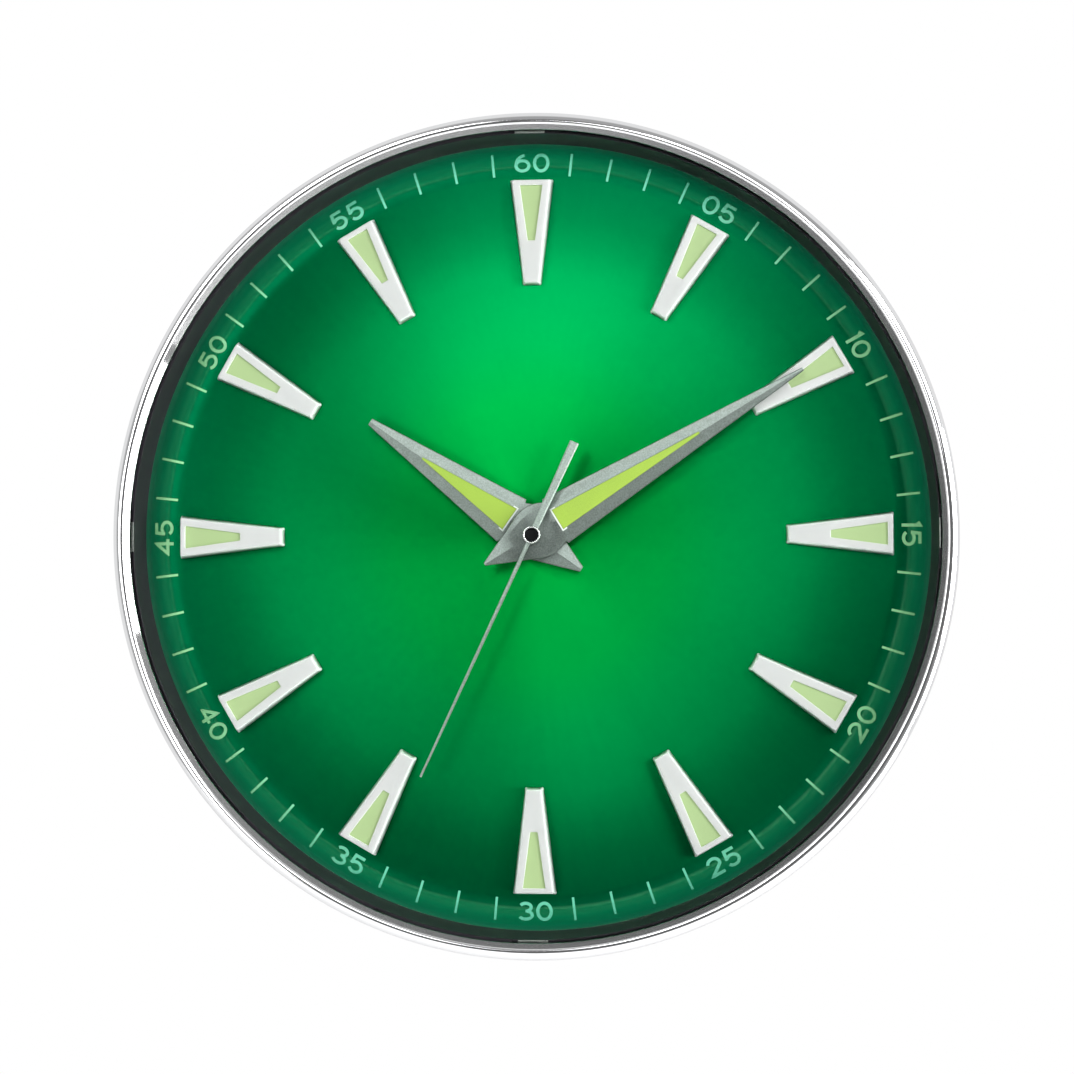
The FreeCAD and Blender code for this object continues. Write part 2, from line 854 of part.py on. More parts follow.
THIRD_DISTANCE = mesh_distance(D.third_module, D.third_teeth, D.seconds_leaves)
MOTION_DISTANCE = mesh_distance(D.motion_module, D.motion_teeth, D.cannon_leaves)
CENTRE_MODULE = THIRD_DISTANCE * 2 / (D.centre_teeth + D.third_leaves)
HOUR_MODULE = MOTION_DISTANCE * 2 / (D.hour_teeth + D.motion_leaves)

THIRD_PLACE = at_bearing(THIRD_DISTANCE.value, THIRD_BEARING)
INTERMEDIATE_PLACE = at_bearing(
    mesh_distance(D.seconds_module, D.seconds_teeth, D.intermediate_leaves).value,
    INTERMEDIATE_BEARING)
ROTOR_PLACE = at_bearing(
    mesh_distance(D.rotor_module, D.intermediate_teeth, D.rotor_teeth).value,
    ROTOR_BEARING, INTERMEDIATE_PLACE)
MOTION_PLACE = at_bearing(MOTION_DISTANCE.value, MOTION_BEARING)
SETTING_PLACE = at_bearing(
    mesh_distance(D.motion_module, D.motion_teeth, D.setting_leaves).value,
    SETTING_BEARING, MOTION_PLACE)

# ---------------------------------------------------------------- movement case and electrics

BAY_HALF = D.movement_half - D.movement_wall
BAY_FRONT = D.housing_front - D.movement_wall
CELL_BAY_TOP = D.bay_low - D.bay_divider
MIDDLE_FRONT = D.middle_depth + D.middle_thickness
ALL_ARBORS = (THIRD_PLACE, INTERMEDIATE_PLACE, ROTOR_PLACE)


def make_housing():
    """Front half of the movement: gear bay, battery bay, posts and the motion stud."""
    body = new_body("movement_housing")
    block = add_plate(body, square_outline(D.movement_half), D.housing_depth,
                      D.housing_front - D.housing_depth)
    round_edges(body, block, D.movement_corner, runs_to_the_front)
    bay_length = BAY_FRONT - D.housing_depth + CUT_MARGIN
    recess(body, box_outline(-BAY_HALF, BAY_HALF, D.bay_low, BAY_HALF), BAY_FRONT, bay_length)
    recess(body, box_outline(-BAY_HALF, BAY_HALF, -BAY_HALF, CELL_BAY_TOP), BAY_FRONT, bay_length)
    for left in (-BAY_HALF, BAY_HALF - D.contact_slot):
        recess(body, box_outline(left, left + D.contact_slot, CELL_BAY_TOP - EMBED,
                                 D.bay_low + EMBED), BAY_FRONT, bay_length)
    for across in (-D.post_across, D.post_across):
        for along in (D.post_low, D.post_high):
            add_disc(body, D.post_radius, MIDDLE_FRONT, BAY_FRONT - MIDDLE_FRONT + EMBED,
                     across, along)
    stud_depth = MIDDLE_FRONT + D.fit_gap
    add_disc(body, D.stud_radius, stud_depth, BAY_FRONT - stud_depth + EMBED, *MOTION_PLACE)
    drill(body, D.bushing_radius)
    drill_blind(body, D.bushing_radius + D.bushing_flange, BAY_FRONT + D.bushing_flange_thickness,
                D.bushing_flange_thickness + EMBED)
    drill_blind(body, D.setting_pivot_radius + D.running_gap, BAY_FRONT + D.pivot_length,
                D.pivot_length + EMBED, *SETTING_PLACE)


def make_cover():
    """Rear plate of the movement with blind pivot holes and a window over the battery."""
    body = new_body("movement_cover")
    thickness = D.housing_depth - D.cover_depth
    block = add_plate(body, square_outline(D.movement_half), D.cover_depth, thickness)
    round_edges(body, block, D.movement_corner, runs_to_the_front)
    window_half = BAY_HALF - D.battery_window_inset
    sketch = front_sketch(body)
    draw_outline(sketch, box_outline(-window_half, window_half, -BAY_HALF, CELL_BAY_TOP))
    cut_through(body, sketch)
    hole_length = D.pivot_length + D.fit_gap
    drill_blind(body, D.arbor_radius + D.running_gap, D.housing_depth, hole_length)
    for spot in ALL_ARBORS:
        drill_blind(body, D.pivot_radius + D.running_gap, D.housing_depth, hole_length, *spot)
    drill(body, D.shaft_radius + D.running_gap, *SETTING_PLACE)


def make_middle_plate():
    """Thin brass plate that carries the front pivots of the train."""
    body = new_body("middle_plate")
    add_plate(body, box_outline(-D.middle_half, D.middle_half, D.middle_low, D.middle_high),
              D.middle_depth, D.middle_thickness)
    drill(body, D.centre_tube_radius + D.running_gap)
    for spot in ALL_ARBORS:
        drill(body, D.pivot_radius + D.running_gap, *spot)
    drill(body, D.shaft_radius + D.fit_gap, *SETTING_PLACE)


def make_centre_fixing():
    """Flanged bushing through the dial, with its gasket, washer and hexagon nut."""
    flange_front = BAY_FRONT + D.bushing_flange_thickness
    flange_radius = D.bushing_radius + D.bushing_flange
    bore = D.hour_tube_radius + D.running_gap
    turned("centre_bushing", [
        (bore, BAY_FRONT),
        (flange_radius, BAY_FRONT),
        (flange_radius, flange_front),
        (D.bushing_radius, flange_front),
        (D.bushing_radius, D.bushing_front),
        (bore, D.bushing_front),
    ])
    dial_back = D.dial_depth - D.dial_thickness
    gasket = new_body("movement_gasket")
    add_plate(gasket, square_outline(D.gasket_half), D.housing_front, dial_back - D.housing_front)
    drill(gasket, D.bushing_radius)
    ring("centre_washer", D.bushing_radius, D.washer_radius, D.dial_depth, D.washer_thickness)
    nut = new_body("centre_nut")
    corners = [at_bearing(DIMENSIONS["nut_corner_radius"], 60.0 * n) for n in range(6)]
    add_plate(nut, corners, D.dial_depth + D.washer_thickness, D.nut_thickness)
    drill(nut, D.bushing_radius)


def add_bar(body, radius, start, length, depth, along):
    """Round bar that lies across the clock, parallel to X."""
    sketch = new_sketch(body, "YZ_Plane", start)
    draw_circle(sketch, radius, -size(depth), along)
    return pad(body, sketch, length)


def make_battery():
    """One AA cell lying across the bottom of the movement, and its two contacts."""
    left = -(D.cell_length + D.cell_nub) / 2
    cell = new_body("battery_cell")
    add_bar(cell, D.cell_radius, left, D.cell_length, D.cell_depth, D.cell_centre)
    add_bar(cell, D.cell_nub_radius, left + D.cell_length, D.cell_nub, D.cell_depth,
            D.cell_centre)

    strip_back = D.cell_depth - D.contact_width / 2
    inner_face = BAY_HALF - D.contact_strip
    for label, strip_left, spring_start in (
            ("battery_contact_negative", -BAY_HALF, -inner_face),
            ("battery_contact_positive", inner_face, -left)):
        contact = new_body(label)
        add_plate(contact, box_outline(strip_left, strip_left + D.contact_strip, D.contact_low,
                                       D.contact_high), strip_back, D.contact_width)
        add_bar(contact, D.contact_spring_radius, spring_start, inner_face + left, D.cell_depth,
                D.cell_centre)


def make_electronics():
    """Circuit board on the middle plate, with its quartz crystal and its chip."""
    board_back = D.middle_depth - D.board_thickness
    middle = (D.board_left + D.board_right) / 2
    board = new_body("circuit_board")
    add_plate(board, box_outline(D.board_left, D.board_right, D.board_low, D.board_high),
              board_back, D.board_thickness)
    crystal = new_body("quartz_crystal")
    sketch = new_sketch(crystal, "XY_Plane", D.crystal_low)
    draw_circle(sketch, D.crystal_radius, middle, D.crystal_radius - board_back)
    pad(crystal, sketch, D.crystal_length)
    chip = new_body("timer_chip")
    add_disc(chip, D.chip_radius, board_back - D.chip_height, D.chip_height, middle, D.chip_along)


def make_stator():
    """Flat iron frame: a wide leg with the rotor's hole, and a narrow leg for the coil."""
    body = new_body("stator_plate")
    rotor_x, rotor_z = ROTOR_PLACE
    left = -D.stator_side + rotor_x
    right = D.coil_across + D.coil_leg_half
    window_left = -D.stator_window_side + rotor_x
    window_right = D.coil_across - D.coil_leg_half
    slot_left = window_right - D.stator_slot_width
    window_low = D.stator_low + D.stator_arm
    slot_high = D.stator_high - D.stator_arm
    back = D.coil_depth - D.stator_thickness / 2
    add_plate(body, box_outline(left, right, D.stator_low, D.stator_high), back,
              D.stator_thickness)
    recess(body, [
        (window_left, window_low),
        (window_right, window_low),
        (window_right, slot_high),
        (slot_left, slot_high),
        (slot_left, D.stator_window_high),
        (window_left, D.stator_window_high),
    ], D.coil_depth + CUT_MARGIN, size(CUT_MARGIN) * 2)
    drill(body, D.stator_hole_radius, rotor_x, rotor_z)


def make_coil():
    """Bobbin pushed on the stator's narrow leg, and its winding."""
    bobbin = new_body("coil_bobbin")
    core_low = D.coil_low + D.bobbin_flange
    core_length = D.coil_length - D.bobbin_flange * 2
    for low, length, radius in (
            (D.coil_low, D.bobbin_flange, D.bobbin_flange_radius),
            (core_low, core_length, D.bobbin_radius),
            (core_low + core_length, D.bobbin_flange, D.bobbin_flange_radius)):
        sketch = new_sketch(bobbin, "XY_Plane", low)
        draw_circle(sketch, radius, D.coil_across, -D.coil_depth)
        pad(bobbin, sketch, length)
    half_thick = D.stator_thickness / 2
    leg = new_sketch(bobbin, "XY_Plane", D.coil_low)
    draw_outline(leg, box_outline(D.coil_across - D.coil_leg_half, D.coil_across + D.coil_leg_half,
                                  -(D.coil_depth + half_thick), -(D.coil_depth - half_thick)))
    cut_through(bobbin, leg)

    winding = new_body("coil_winding")
    sketch = new_sketch(winding, "XY_Plane", core_low)
    for radius in (D.coil_radius, D.bobbin_radius):
        draw_circle(sketch, radius, D.coil_across, -D.coil_depth)
    pad(winding, sketch, core_length)


def make_movement_case():
    make_housing()
    make_cover()
    make_middle_plate()
    make_centre_fixing()
    make_battery()
    make_electronics()
    make_stator()
    make_coil()


# ---------------------------------------------------------------- wheels and pinions

ADDENDUM = 0.85                     # tooth proportions, in modules
DEDENDUM = 1.1
TIP_HALF = 0.30
ROOT_HALF = 0.78
ROOT_SINK = 0.2


def add_teeth(body, module, teeth, depth, thickness):
    """A toothed disc whose first tooth points to 12 o'clock."""
    module = size(module)
    root = module * (teeth / 2 - DEDENDUM)
    tip = module * (teeth / 2 + ADDENDUM)
    add_disc(body, root, depth, thickness)
    sketch = front_sketch(body, depth)
    draw_outline(sketch, mirrored_outline([(module * ROOT_HALF, root - module * ROOT_SINK),
                                           (module * TIP_HALF, tip)]))
    tooth = pad(body, sketch, thickness)
    repeat_round(body, [tooth], sketch, teeth)


def meshing_phase(teeth, phase, bearing, next_teeth):
    """Bearing of the next wheel's first tooth, so that it meshes with this wheel.
    Both bearings are clockwise, and the next wheel stands at the bearing given."""
    past_tooth = (bearing - phase) * teeth / 360 % 1
    return bearing + 180 - (0.5 - past_tooth) * 360 / next_teeth


PIVOT_BACK = D.housing_depth - D.pivot_length
PIVOT_FRONT = MIDDLE_FRONT - D.running_gap


def add_arbor(body):
    add_disc(body, D.pivot_radius, PIVOT_BACK, PIVOT_FRONT - PIVOT_BACK)


def add_tube(body, radius, back, front):
    add_disc(body, radius, back, front - back)


def make_going_train():
    """Rotor, intermediate, seconds, third and centre wheels: 30 : 5 : 1 : 1/7.5 : 1/60."""
    thickness = D.wheel_thickness
    seconds_phase = 0.0
    seconds = new_body("seconds_wheel")
    add_teeth(seconds, D.seconds_module, D.seconds_teeth, D.seconds_depth, thickness)
    add_teeth(seconds, D.third_module, D.seconds_leaves, D.seconds_depth + thickness,
              D.seconds_leaf_length)
    drill(seconds, D.arbor_radius)
    arbor = new_body("seconds_arbor")
    add_tube(arbor, D.arbor_radius, PIVOT_BACK, D.second_hub_depth + D.second_grip)

    phase = meshing_phase(DIMENSIONS["seconds_teeth"], seconds_phase, INTERMEDIATE_BEARING,
                          DIMENSIONS["intermediate_leaves"])
    intermediate = new_body("intermediate_wheel")
    add_teeth(intermediate, D.rotor_module, D.intermediate_teeth, D.intermediate_depth, thickness)
    add_teeth(intermediate, D.seconds_module, D.intermediate_leaves,
              D.intermediate_depth + thickness, D.intermediate_leaf_length)
    add_arbor(intermediate)
    place(intermediate, phase, *INTERMEDIATE_PLACE)

    phase = meshing_phase(DIMENSIONS["intermediate_teeth"], phase, ROTOR_BEARING,
                          DIMENSIONS["rotor_teeth"])
    pinion = new_body("rotor_pinion")
    add_teeth(pinion, D.rotor_module, D.rotor_teeth, D.rotor_pinion_depth, D.rotor_pinion_length)
    add_arbor(pinion)
    place(pinion, phase, *ROTOR_PLACE)
    magnet = ring("rotor_magnet", D.pivot_radius, D.magnet_radius, D.magnet_depth,
                  D.magnet_length)
    place(magnet, phase, *ROTOR_PLACE)

    phase = meshing_phase(DIMENSIONS["seconds_leaves"], seconds_phase, THIRD_BEARING,
                          DIMENSIONS["third_teeth"])
    third = new_body("third_wheel")
    add_teeth(third, D.third_module, D.third_teeth, D.third_depth, thickness)
    add_teeth(third, CENTRE_MODULE, D.third_leaves, D.third_depth + thickness,
              D.third_leaf_length)
    add_arbor(third)
    place(third, phase, *THIRD_PLACE)

    phase = meshing_phase(DIMENSIONS["third_leaves"], phase, THIRD_BEARING + 180,
                          DIMENSIONS["centre_teeth"])
    centre = new_body("centre_wheel")
    add_teeth(centre, CENTRE_MODULE, D.centre_teeth, D.centre_depth, thickness)
    add_tube(centre, D.centre_tube_radius, D.centre_depth, D.centre_tube_front)
    drill(centre, D.arbor_radius + D.running_gap)
    place(centre, phase)


def make_motion_work():
    """Cannon pinion, motion wheel and hour wheel, which turn 12 : 4 : 1."""
    cannon_phase = 0.0
    cannon = new_body("cannon_pinion")
    add_teeth(cannon, D.motion_module, D.cannon_leaves, D.cannon_depth, D.cannon_leaf_length)
    add_tube(cannon, D.cannon_tube_radius, D.cannon_depth, D.minute_hand_depth + D.cannon_grip)
    drill(cannon, D.centre_tube_radius + D.running_gap)

    motion_phase = meshing_phase(DIMENSIONS["cannon_leaves"], cannon_phase, MOTION_BEARING,
                                 DIMENSIONS["motion_teeth"])
    motion = new_body("motion_wheel")
    add_teeth(motion, D.motion_module, D.motion_teeth, D.motion_depth, D.motion_thickness)
    add_teeth(motion, HOUR_MODULE, D.motion_leaves, D.motion_depth + D.motion_thickness,
              D.motion_leaf_length)
    drill(motion, D.stud_radius + D.running_gap)
    place(motion, motion_phase, *MOTION_PLACE)
    washer = ring("motion_thrust_washer", D.stud_radius + D.running_gap, D.motion_washer_radius,
                  D.motion_washer_depth, D.thrust_washer)
    place(washer, 0.0, *MOTION_PLACE)

    phase = meshing_phase(DIMENSIONS["motion_leaves"], motion_phase, MOTION_BEARING + 180,
                          DIMENSIONS["hour_teeth"])
    hour = new_body("hour_wheel")
    add_teeth(hour, HOUR_MODULE, D.hour_teeth, D.hour_wheel_depth, D.hour_wheel_thickness)
    add_tube(hour, D.hour_tube_radius, D.hour_wheel_depth, D.hour_hand_depth + D.hour_grip)
    drill(hour, D.cannon_tube_radius + D.running_gap)
    place(hour, phase)
    ring("hour_spring_washer", D.hour_tube_radius + D.running_gap, D.hour_washer_radius,
         D.hour_washer_depth, D.thrust_washer)
    return motion_phase


def make_hand_setting(motion_phase):
    """Pinion in mesh with the motion wheel, on the shaft that carries the rear knob."""
    phase = meshing_phase(DIMENSIONS["motion_teeth"], motion_phase, SETTING_BEARING,
                          DIMENSIONS["setting_leaves"])
    setting = new_body("setting_pinion")
    leaf_front = D.cannon_depth + D.setting_leaf_length
    add_teeth(setting, D.motion_module, D.setting_leaves, D.cannon_depth, D.setting_leaf_length)
    add_tube(setting, D.shaft_radius, D.shaft_back, D.cannon_depth + EMBED)
    add_tube(setting, D.setting_pivot_radius, leaf_front - EMBED,
             BAY_FRONT + D.pivot_length - D.fit_gap)
    place(setting, phase, *SETTING_PLACE)
    washer = ring("setting_thrust_washer", D.shaft_radius + D.running_gap,
                  D.setting_washer_radius, D.setting_washer_depth, D.thrust_washer)
    place(washer, 0.0, *SETTING_PLACE)

    knob = new_body("setting_knob")
    knob_length = D.knob_front - D.knob_back
    add_disc(knob, D.knob_core_radius, D.knob_back, knob_length)
    sketch = front_sketch(knob, D.knob_back)
    half_grip = D.knob_grip_width / 2
    draw_outline(sketch, box_outline(-half_grip, half_grip, D.knob_core_radius - half_grip,
                                     D.knob_radius))
    grip = pad(knob, sketch, knob_length)
    repeat_round(knob, [grip], sketch, D.knob_grips)
    drill_blind(knob, D.shaft_radius, D.knob_front + CUT_MARGIN,
                D.knob_front + CUT_MARGIN - D.shaft_back)
    place(knob, 0.0, *SETTING_PLACE)


# ---------------------------------------------------------------- build, check and export

def check_and_export():
    """Write every body to its own STEP file once the whole document is sound."""
    doc.recompute()
    for item in doc.Objects:
        if "Invalid" in item.State or "Error" in item.State:
            raise RuntimeError(f"{item.Name} failed: {item.State}")
    bodies = [item for item in doc.Objects if item.TypeId == "PartDesign::Body"]
    for body in bodies:
        if body.Shape.isNull() or not body.Shape.isValid() or not body.Shape.Solids:
            raise RuntimeError(f"{body.Label} has no valid solid")
    os.makedirs("parts", exist_ok=True)
    for body in bodies:
        body.Shape.exportStep(os.path.join("parts", f"{body.Label}.step"))
        print(f"{body.Label}: {len(body.Shape.Solids)} solid(s), {body.Shape.Volume:.1f} mm3")


make_case()
make_markers()
make_hands()
make_movement_case()
make_going_train()
make_hand_setting(make_motion_work())
check_and_export()
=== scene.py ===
import json
import math

import bmesh
import bpy
from mathutils import Matrix, Quaternion, Vector


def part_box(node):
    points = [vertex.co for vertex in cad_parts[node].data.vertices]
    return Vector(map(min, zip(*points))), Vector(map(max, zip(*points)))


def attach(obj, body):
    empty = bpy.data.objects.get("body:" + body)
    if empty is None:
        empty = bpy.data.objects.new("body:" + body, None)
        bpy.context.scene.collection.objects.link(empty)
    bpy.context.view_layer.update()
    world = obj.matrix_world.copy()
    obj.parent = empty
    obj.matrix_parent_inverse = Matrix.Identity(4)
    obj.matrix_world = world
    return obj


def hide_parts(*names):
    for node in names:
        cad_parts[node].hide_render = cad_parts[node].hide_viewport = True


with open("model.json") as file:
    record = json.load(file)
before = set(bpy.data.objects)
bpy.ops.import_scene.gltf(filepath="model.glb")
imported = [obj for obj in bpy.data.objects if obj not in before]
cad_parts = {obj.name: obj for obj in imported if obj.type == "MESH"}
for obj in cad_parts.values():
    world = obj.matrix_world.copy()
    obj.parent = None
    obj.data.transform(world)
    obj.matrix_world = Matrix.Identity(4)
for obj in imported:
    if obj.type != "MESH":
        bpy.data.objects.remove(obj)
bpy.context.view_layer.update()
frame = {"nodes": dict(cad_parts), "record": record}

# The hands turn about the Y axis, the wall is at Y = 0 and the dial faces -Y.
# Lengths are written in millimetres and turned into metres by MM, apart from those of the
# floor, the lamps and the camera, which are in metres.
# A "depth" is a distance in front of the wall, so it lies at Y = -depth.
# A bearing is an angle clockwise from 12 o'clock, in degrees.
MM = 0.001
TURN = 2 * math.pi

# ---------------------------------------------------------------- sizes from the frame


def outer_radius(node):
    """Radius in millimetres of a round node centred on the hand axis."""
    low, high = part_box(node)
    return max(high[0], -low[0], high[2], -low[2]) / MM


def back_depth(node):
    return -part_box(node)[1][1] / MM


def front_depth(node):
    return -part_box(node)[0][1] / MM


CASE_RADIUS = round(outer_radius("bezel_ring"), 1)
SKIRT_DEPTH = back_depth("bezel_ring")
CREST_DEPTH = front_depth("bezel_ring")
LENS_RADIUS = round(outer_radius("lens_glass"), 1)
LENS_BACK = back_depth("lens_glass")
LENS_FRONT = front_depth("lens_glass")
DIAL_DEPTH = front_depth("dial_plate")
DIAL_RIM_BACK = back_depth("dial_plate")
WALL_OUTER = round(outer_radius("dial_surround"), 1)
WALL_FOOT = back_depth("dial_surround")
MARKER_TOP = front_depth("hour_marker_12")
INLAY_BACK = back_depth("marker_inlays")

TAPER_DEPTH = 14.0
FRONT_RADIUS = 147.2
FRONT_ROUND = 3.4
CREST_EASE = 1.08
CREST_FALL = 0.6
LIP_RADIUS = 141.4
LIP_EDGE = 0.3
LIP_HAUNCH = 0.6
GASKET = 0.6
SKIN = 1.6
WALL_TOP_RADIUS = 140.7
WALL_TOP_BEVEL = 0.4
WALL_FOOT_RADIUS = 140.4
DIAL_FLAT_RADIUS = 127.0
DIAL_EDGE_RADIUS = 140.2
DIAL_EDGE_DROP = 2.8
DIAL_THICKNESS = 0.8
DIAL_HOLE = 4.1
DIAL_RINGS = (30.0, 60.0, 90.0, 110.0, 120.0)
DIAL_ROLL_STEPS = 24

MARKER_OUTER = 127.0
MARKER_INNER = 89.2
MARKER_OUTER_WIDTH = 15.7
MARKER_INNER_WIDTH = 6.7
MARKER_DRAFT = math.tan(math.radians(12.0))
MARKER_BREAK = 104.5
MARKER_FALL = 0.9
MARKER_ROUND = 0.95
LUME_OUTER = 124.3
LUME_OUTER_WIDTH = 8.0
LUME_INNER_WIDTH = 2.6

TICK_INNER = 128.75
TICK_OUTER = 137.15
TICK_WIDTH = 0.85
PRINT_RISE = 0.03
NUMERAL_RADIUS = 133.2
NUMERAL_HEIGHT = 7.1
NUMERAL_WIDTH = 5.9
ONE_WIDTH = 2.4
NUMERAL_GAP = 0.8
STROKE = 1.15
PRINT_STEP = 0.4


# ---------------------------------------------------------------- node materials

class Look:
    """A material with one Principled shader, and short ways to add nodes to it."""

    def __init__(self, name, **sockets):
        self.material = bpy.data.materials.new(name)
        self.material.use_nodes = True
        self.tree = self.material.node_tree
        self.shader = self.tree.nodes["Principled BSDF"]
        for socket, value in sockets.items():
            self.shader.inputs[socket.replace("_", " ")].default_value = value

    def node(self, kind, settings=None, **inputs):
        node = self.tree.nodes.new(kind)
        for name, value in (settings or {}).items():
            setattr(node, name, value)
        for name, value in inputs.items():
            self.feed(node.inputs[int(name[1:])] if name[0] == "_" else node.inputs[name], value)
        return node

    def feed(self, socket, value):
        """Link an output to a socket, or set the socket's own value."""
        if isinstance(value, bpy.types.NodeSocket):
            self.tree.links.new(value, socket)
        else:
            socket.default_value = value

    def set(self, socket, value):
        self.feed(self.shader.inputs[socket], value)

    def math(self, operation, *values):
        inputs = {f"_{n}": value for n, value in enumerate(values)}
        return self.node("ShaderNodeMath", {"operation": operation}, **inputs).outputs[0]

    def place(self):
        """The point's place in the row frame, in metres."""
        return self.node("ShaderNodeTexCoord").outputs["Object"]

    def parts(self, vector):
        return self.node("ShaderNodeSeparateXYZ", _0=vector).outputs

    def noise(self, vector, scale, detail=3.0, roughness=0.55):
        return self.node("ShaderNodeTexNoise", None, Vector=vector, Scale=scale, Detail=detail,
                         Roughness=roughness).outputs[0]

    def spread(self, value, low, high):
        """Map 0..1 to low..high."""
        return self.node("ShaderNodeMapRange", None, Value=value, _3=low, _4=high).outputs[0]

    def ramp(self, value, stops):
        """Colours at positions from 0 to 1, with straight changes between them."""
        node = self.node("ShaderNodeValToRGB", None, _0=value)
        ramp = node.color_ramp
        while len(ramp.elements) < len(stops):
            ramp.elements.new(1.0)
        for element, (position, colour) in zip(ramp.elements, stops):
            element.position = position
            element.color = (*colour, 1.0)
        return node.outputs[0]

    def tint(self, colour, value):
        """A colour scaled by a value."""
        node = self.node("ShaderNodeVectorMath", {"operation": "SCALE"}, _0=colour, Scale=value)
        return node.outputs[0]

    def bump(self, height, strength, distance):
        node = self.node("ShaderNodeBump", None, Strength=strength, Distance=distance,
                         Height=height)
        self.set("Normal", node.outputs[0])

    def bearing_and_radius(self):
        """Angle about the hand axis in radians, and distance from it in metres."""
        x, _, z = self.parts(self.place())
        radius = self.math("SQRT", self.math("ADD", self.math("MULTIPLY", x, x),
                                             self.math("MULTIPLY", z, z)))
        return self.math("ARCTAN2", x, z), radius


def grained(name, colour, roughness, metallic=0.0, grain=600.0, contrast=0.12, bump=0.05,
            **sockets):
    """A surface whose colour, roughness and height vary together with a fine grain."""
    look = Look(name, Metallic=metallic, **sockets)
    place = look.place()
    grain_value = look.noise(place, grain)
    slow_value = look.noise(place, grain / 25, detail=2.0)
    look.set("Base Color", look.tint(
        colour, look.math("ADD", look.spread(grain_value, 1 - contrast, 1 + contrast / 2),
                          look.spread(slow_value, -contrast / 2, contrast / 2))))
    look.set("Roughness", look.spread(slow_value, roughness * 0.85, roughness * 1.15))
    look.bump(grain_value, bump, 0.0001)
    return look.material


# Fumé darkening towards the rim; from 131.5 mm out the green rises again as a painted highlight
# band on the rolled rim.
FUME_AND_RIM_SHEEN = [
    # (radius in mm, green, blue as a share of the green)
    (0.0, 0.325, 0.12),
    (48.0, 0.320, 0.15),
    (68.0, 0.282, 0.20),
    (80.0, 0.252, 0.22),
    (93.0, 0.213, 0.24),
    (104.0, 0.150, 0.26),
    (114.0, 0.110, 0.28),
    (124.0, 0.090, 0.31),
    (127.8, 0.086, 0.32),
    (128.3, 0.077, 0.34),
    (131.5, 0.100, 0.36),
    (132.5, 0.205, 0.38),
    (133.4, 0.275, 0.38),
    (134.3, 0.265, 0.39),
    (136.0, 0.212, 0.41),
    (137.2, 0.205, 0.42),
    (138.8, 0.260, 0.45),
    (139.6, 0.350, 0.50),
    (140.2, 0.280, 0.50),
]
RIM_GLOSS = [
    # (radius in mm, share of the turned gloss)
    (131.4, 0.0),
    (132.6, 0.09),
    (133.6, 0.20),
    (134.4, 0.18),
    (135.6, 0.09),
    (138.0, 0.15),
    (139.6, 0.45),
    (140.2, 0.40),
]


def dial_material():
    """Sunray-brushed sheet under green lacquer that darkens towards the rim, where the lacquer over
    the minute track is turned and glossy and the colour carries a painted highlight band."""
    look = Look("dial_sunray", Anisotropic=0.85, Specular_IOR_Level=0.0,
                Specular_Tint=(0.0, 0.0, 0.0, 1.0))
    bearing, radius = look.bearing_and_radius()
    edge = FUME_AND_RIM_SHEEN[-1][0]
    share = look.math("MULTIPLY", radius, 1 / (edge * MM))
    # Base colour: fumé darkening, plus the painted highlight band on the rolled rim.
    fume_and_rim_sheen = look.ramp(share, [(spot / edge, (0.0, green, green * blue))
                             for spot, green, blue in FUME_AND_RIM_SHEEN])
    across = look.node("ShaderNodeCombineXYZ", None, X=look.math("MULTIPLY", bearing, 90.0),
                       Y=look.math("MULTIPLY", radius, 22.0)).outputs[0]
    streaks = look.noise(across, 1.0, detail=6.0, roughness=0.7)
    look.set("Base Color", look.tint(fume_and_rim_sheen, look.spread(streaks, 0.93, 1.07)))
    look.set("Metallic", look.ramp(share, [(0.90, (1.0, 1.0, 1.0)), (0.97, (0.3, 0.3, 0.3))]))
    look.set("Roughness", look.spread(streaks, 0.34, 0.42))
    tangent = look.node("ShaderNodeTangent", {"direction_type": "RADIAL", "axis": "Y"}).outputs[0]
    look.set("Tangent", tangent)
    look.bump(streaks, 0.08, 0.00004)
    turned = look.node("ShaderNodeBsdfAnisotropic", None, Color=(0.75, 1.0, 0.65, 1.0),
                       Roughness=look.spread(streaks, 0.30, 0.36), Tangent=tangent)
    turned.inputs["Anisotropy"].default_value = 0.8
    turned.inputs["Rotation"].default_value = 0.25
    gloss = look.ramp(share, [(spot / edge, (value, value, value)) for spot, value in RIM_GLOSS])
    mix = look.node("ShaderNodeMixShader", None, _0=gloss, _1=look.shader.outputs[0],
                    _2=turned.outputs[0])
    look.feed(look.tree.nodes["Material Output"].inputs["Surface"], mix.outputs[0])
    return look.material


def print_material():
    """Pale green screen print, with a painted warm highlight on the left and right."""
    look = Look("dial_print", Roughness=0.45)
    across = look.math("ABSOLUTE", look.parts(look.place())[0])
    grain = look.noise(look.place(), 1500.0)
    # Painted highlight: the colour turns warmer towards the left and right.
    colour = look.ramp(look.math("MULTIPLY", across, 1 / (TICK_OUTER * MM)),
                       [(0.45, (0.11, 0.50, 0.33)), (0.90, (0.24, 0.56, 0.26))])
    look.set("Base Color", look.tint(colour, look.spread(grain, 0.9, 1.1)))
    return look.material


def chrome_material():
    """Polished plating with the faint waviness of a spun ring."""
    look = Look("chrome_plating", Metallic=1.0)
    bearing, radius = look.bearing_and_radius()
    lines = look.node("ShaderNodeCombineXYZ", None, X=look.math("MULTIPLY", bearing, 1.2),
                      Y=look.math("MULTIPLY", radius, 900.0)).outputs[0]
    spun = look.noise(lines, 1.0, detail=3.0)
    smudge = look.noise(look.place(), 45.0, detail=4.0)
    look.set("Base Color", look.tint((0.93, 0.935, 0.945), look.spread(smudge, 0.97, 1.0)))
    look.set("Roughness", look.spread(smudge, 0.03, 0.07))
    look.bump(spun, 0.16, 0.00006)
    return look.material


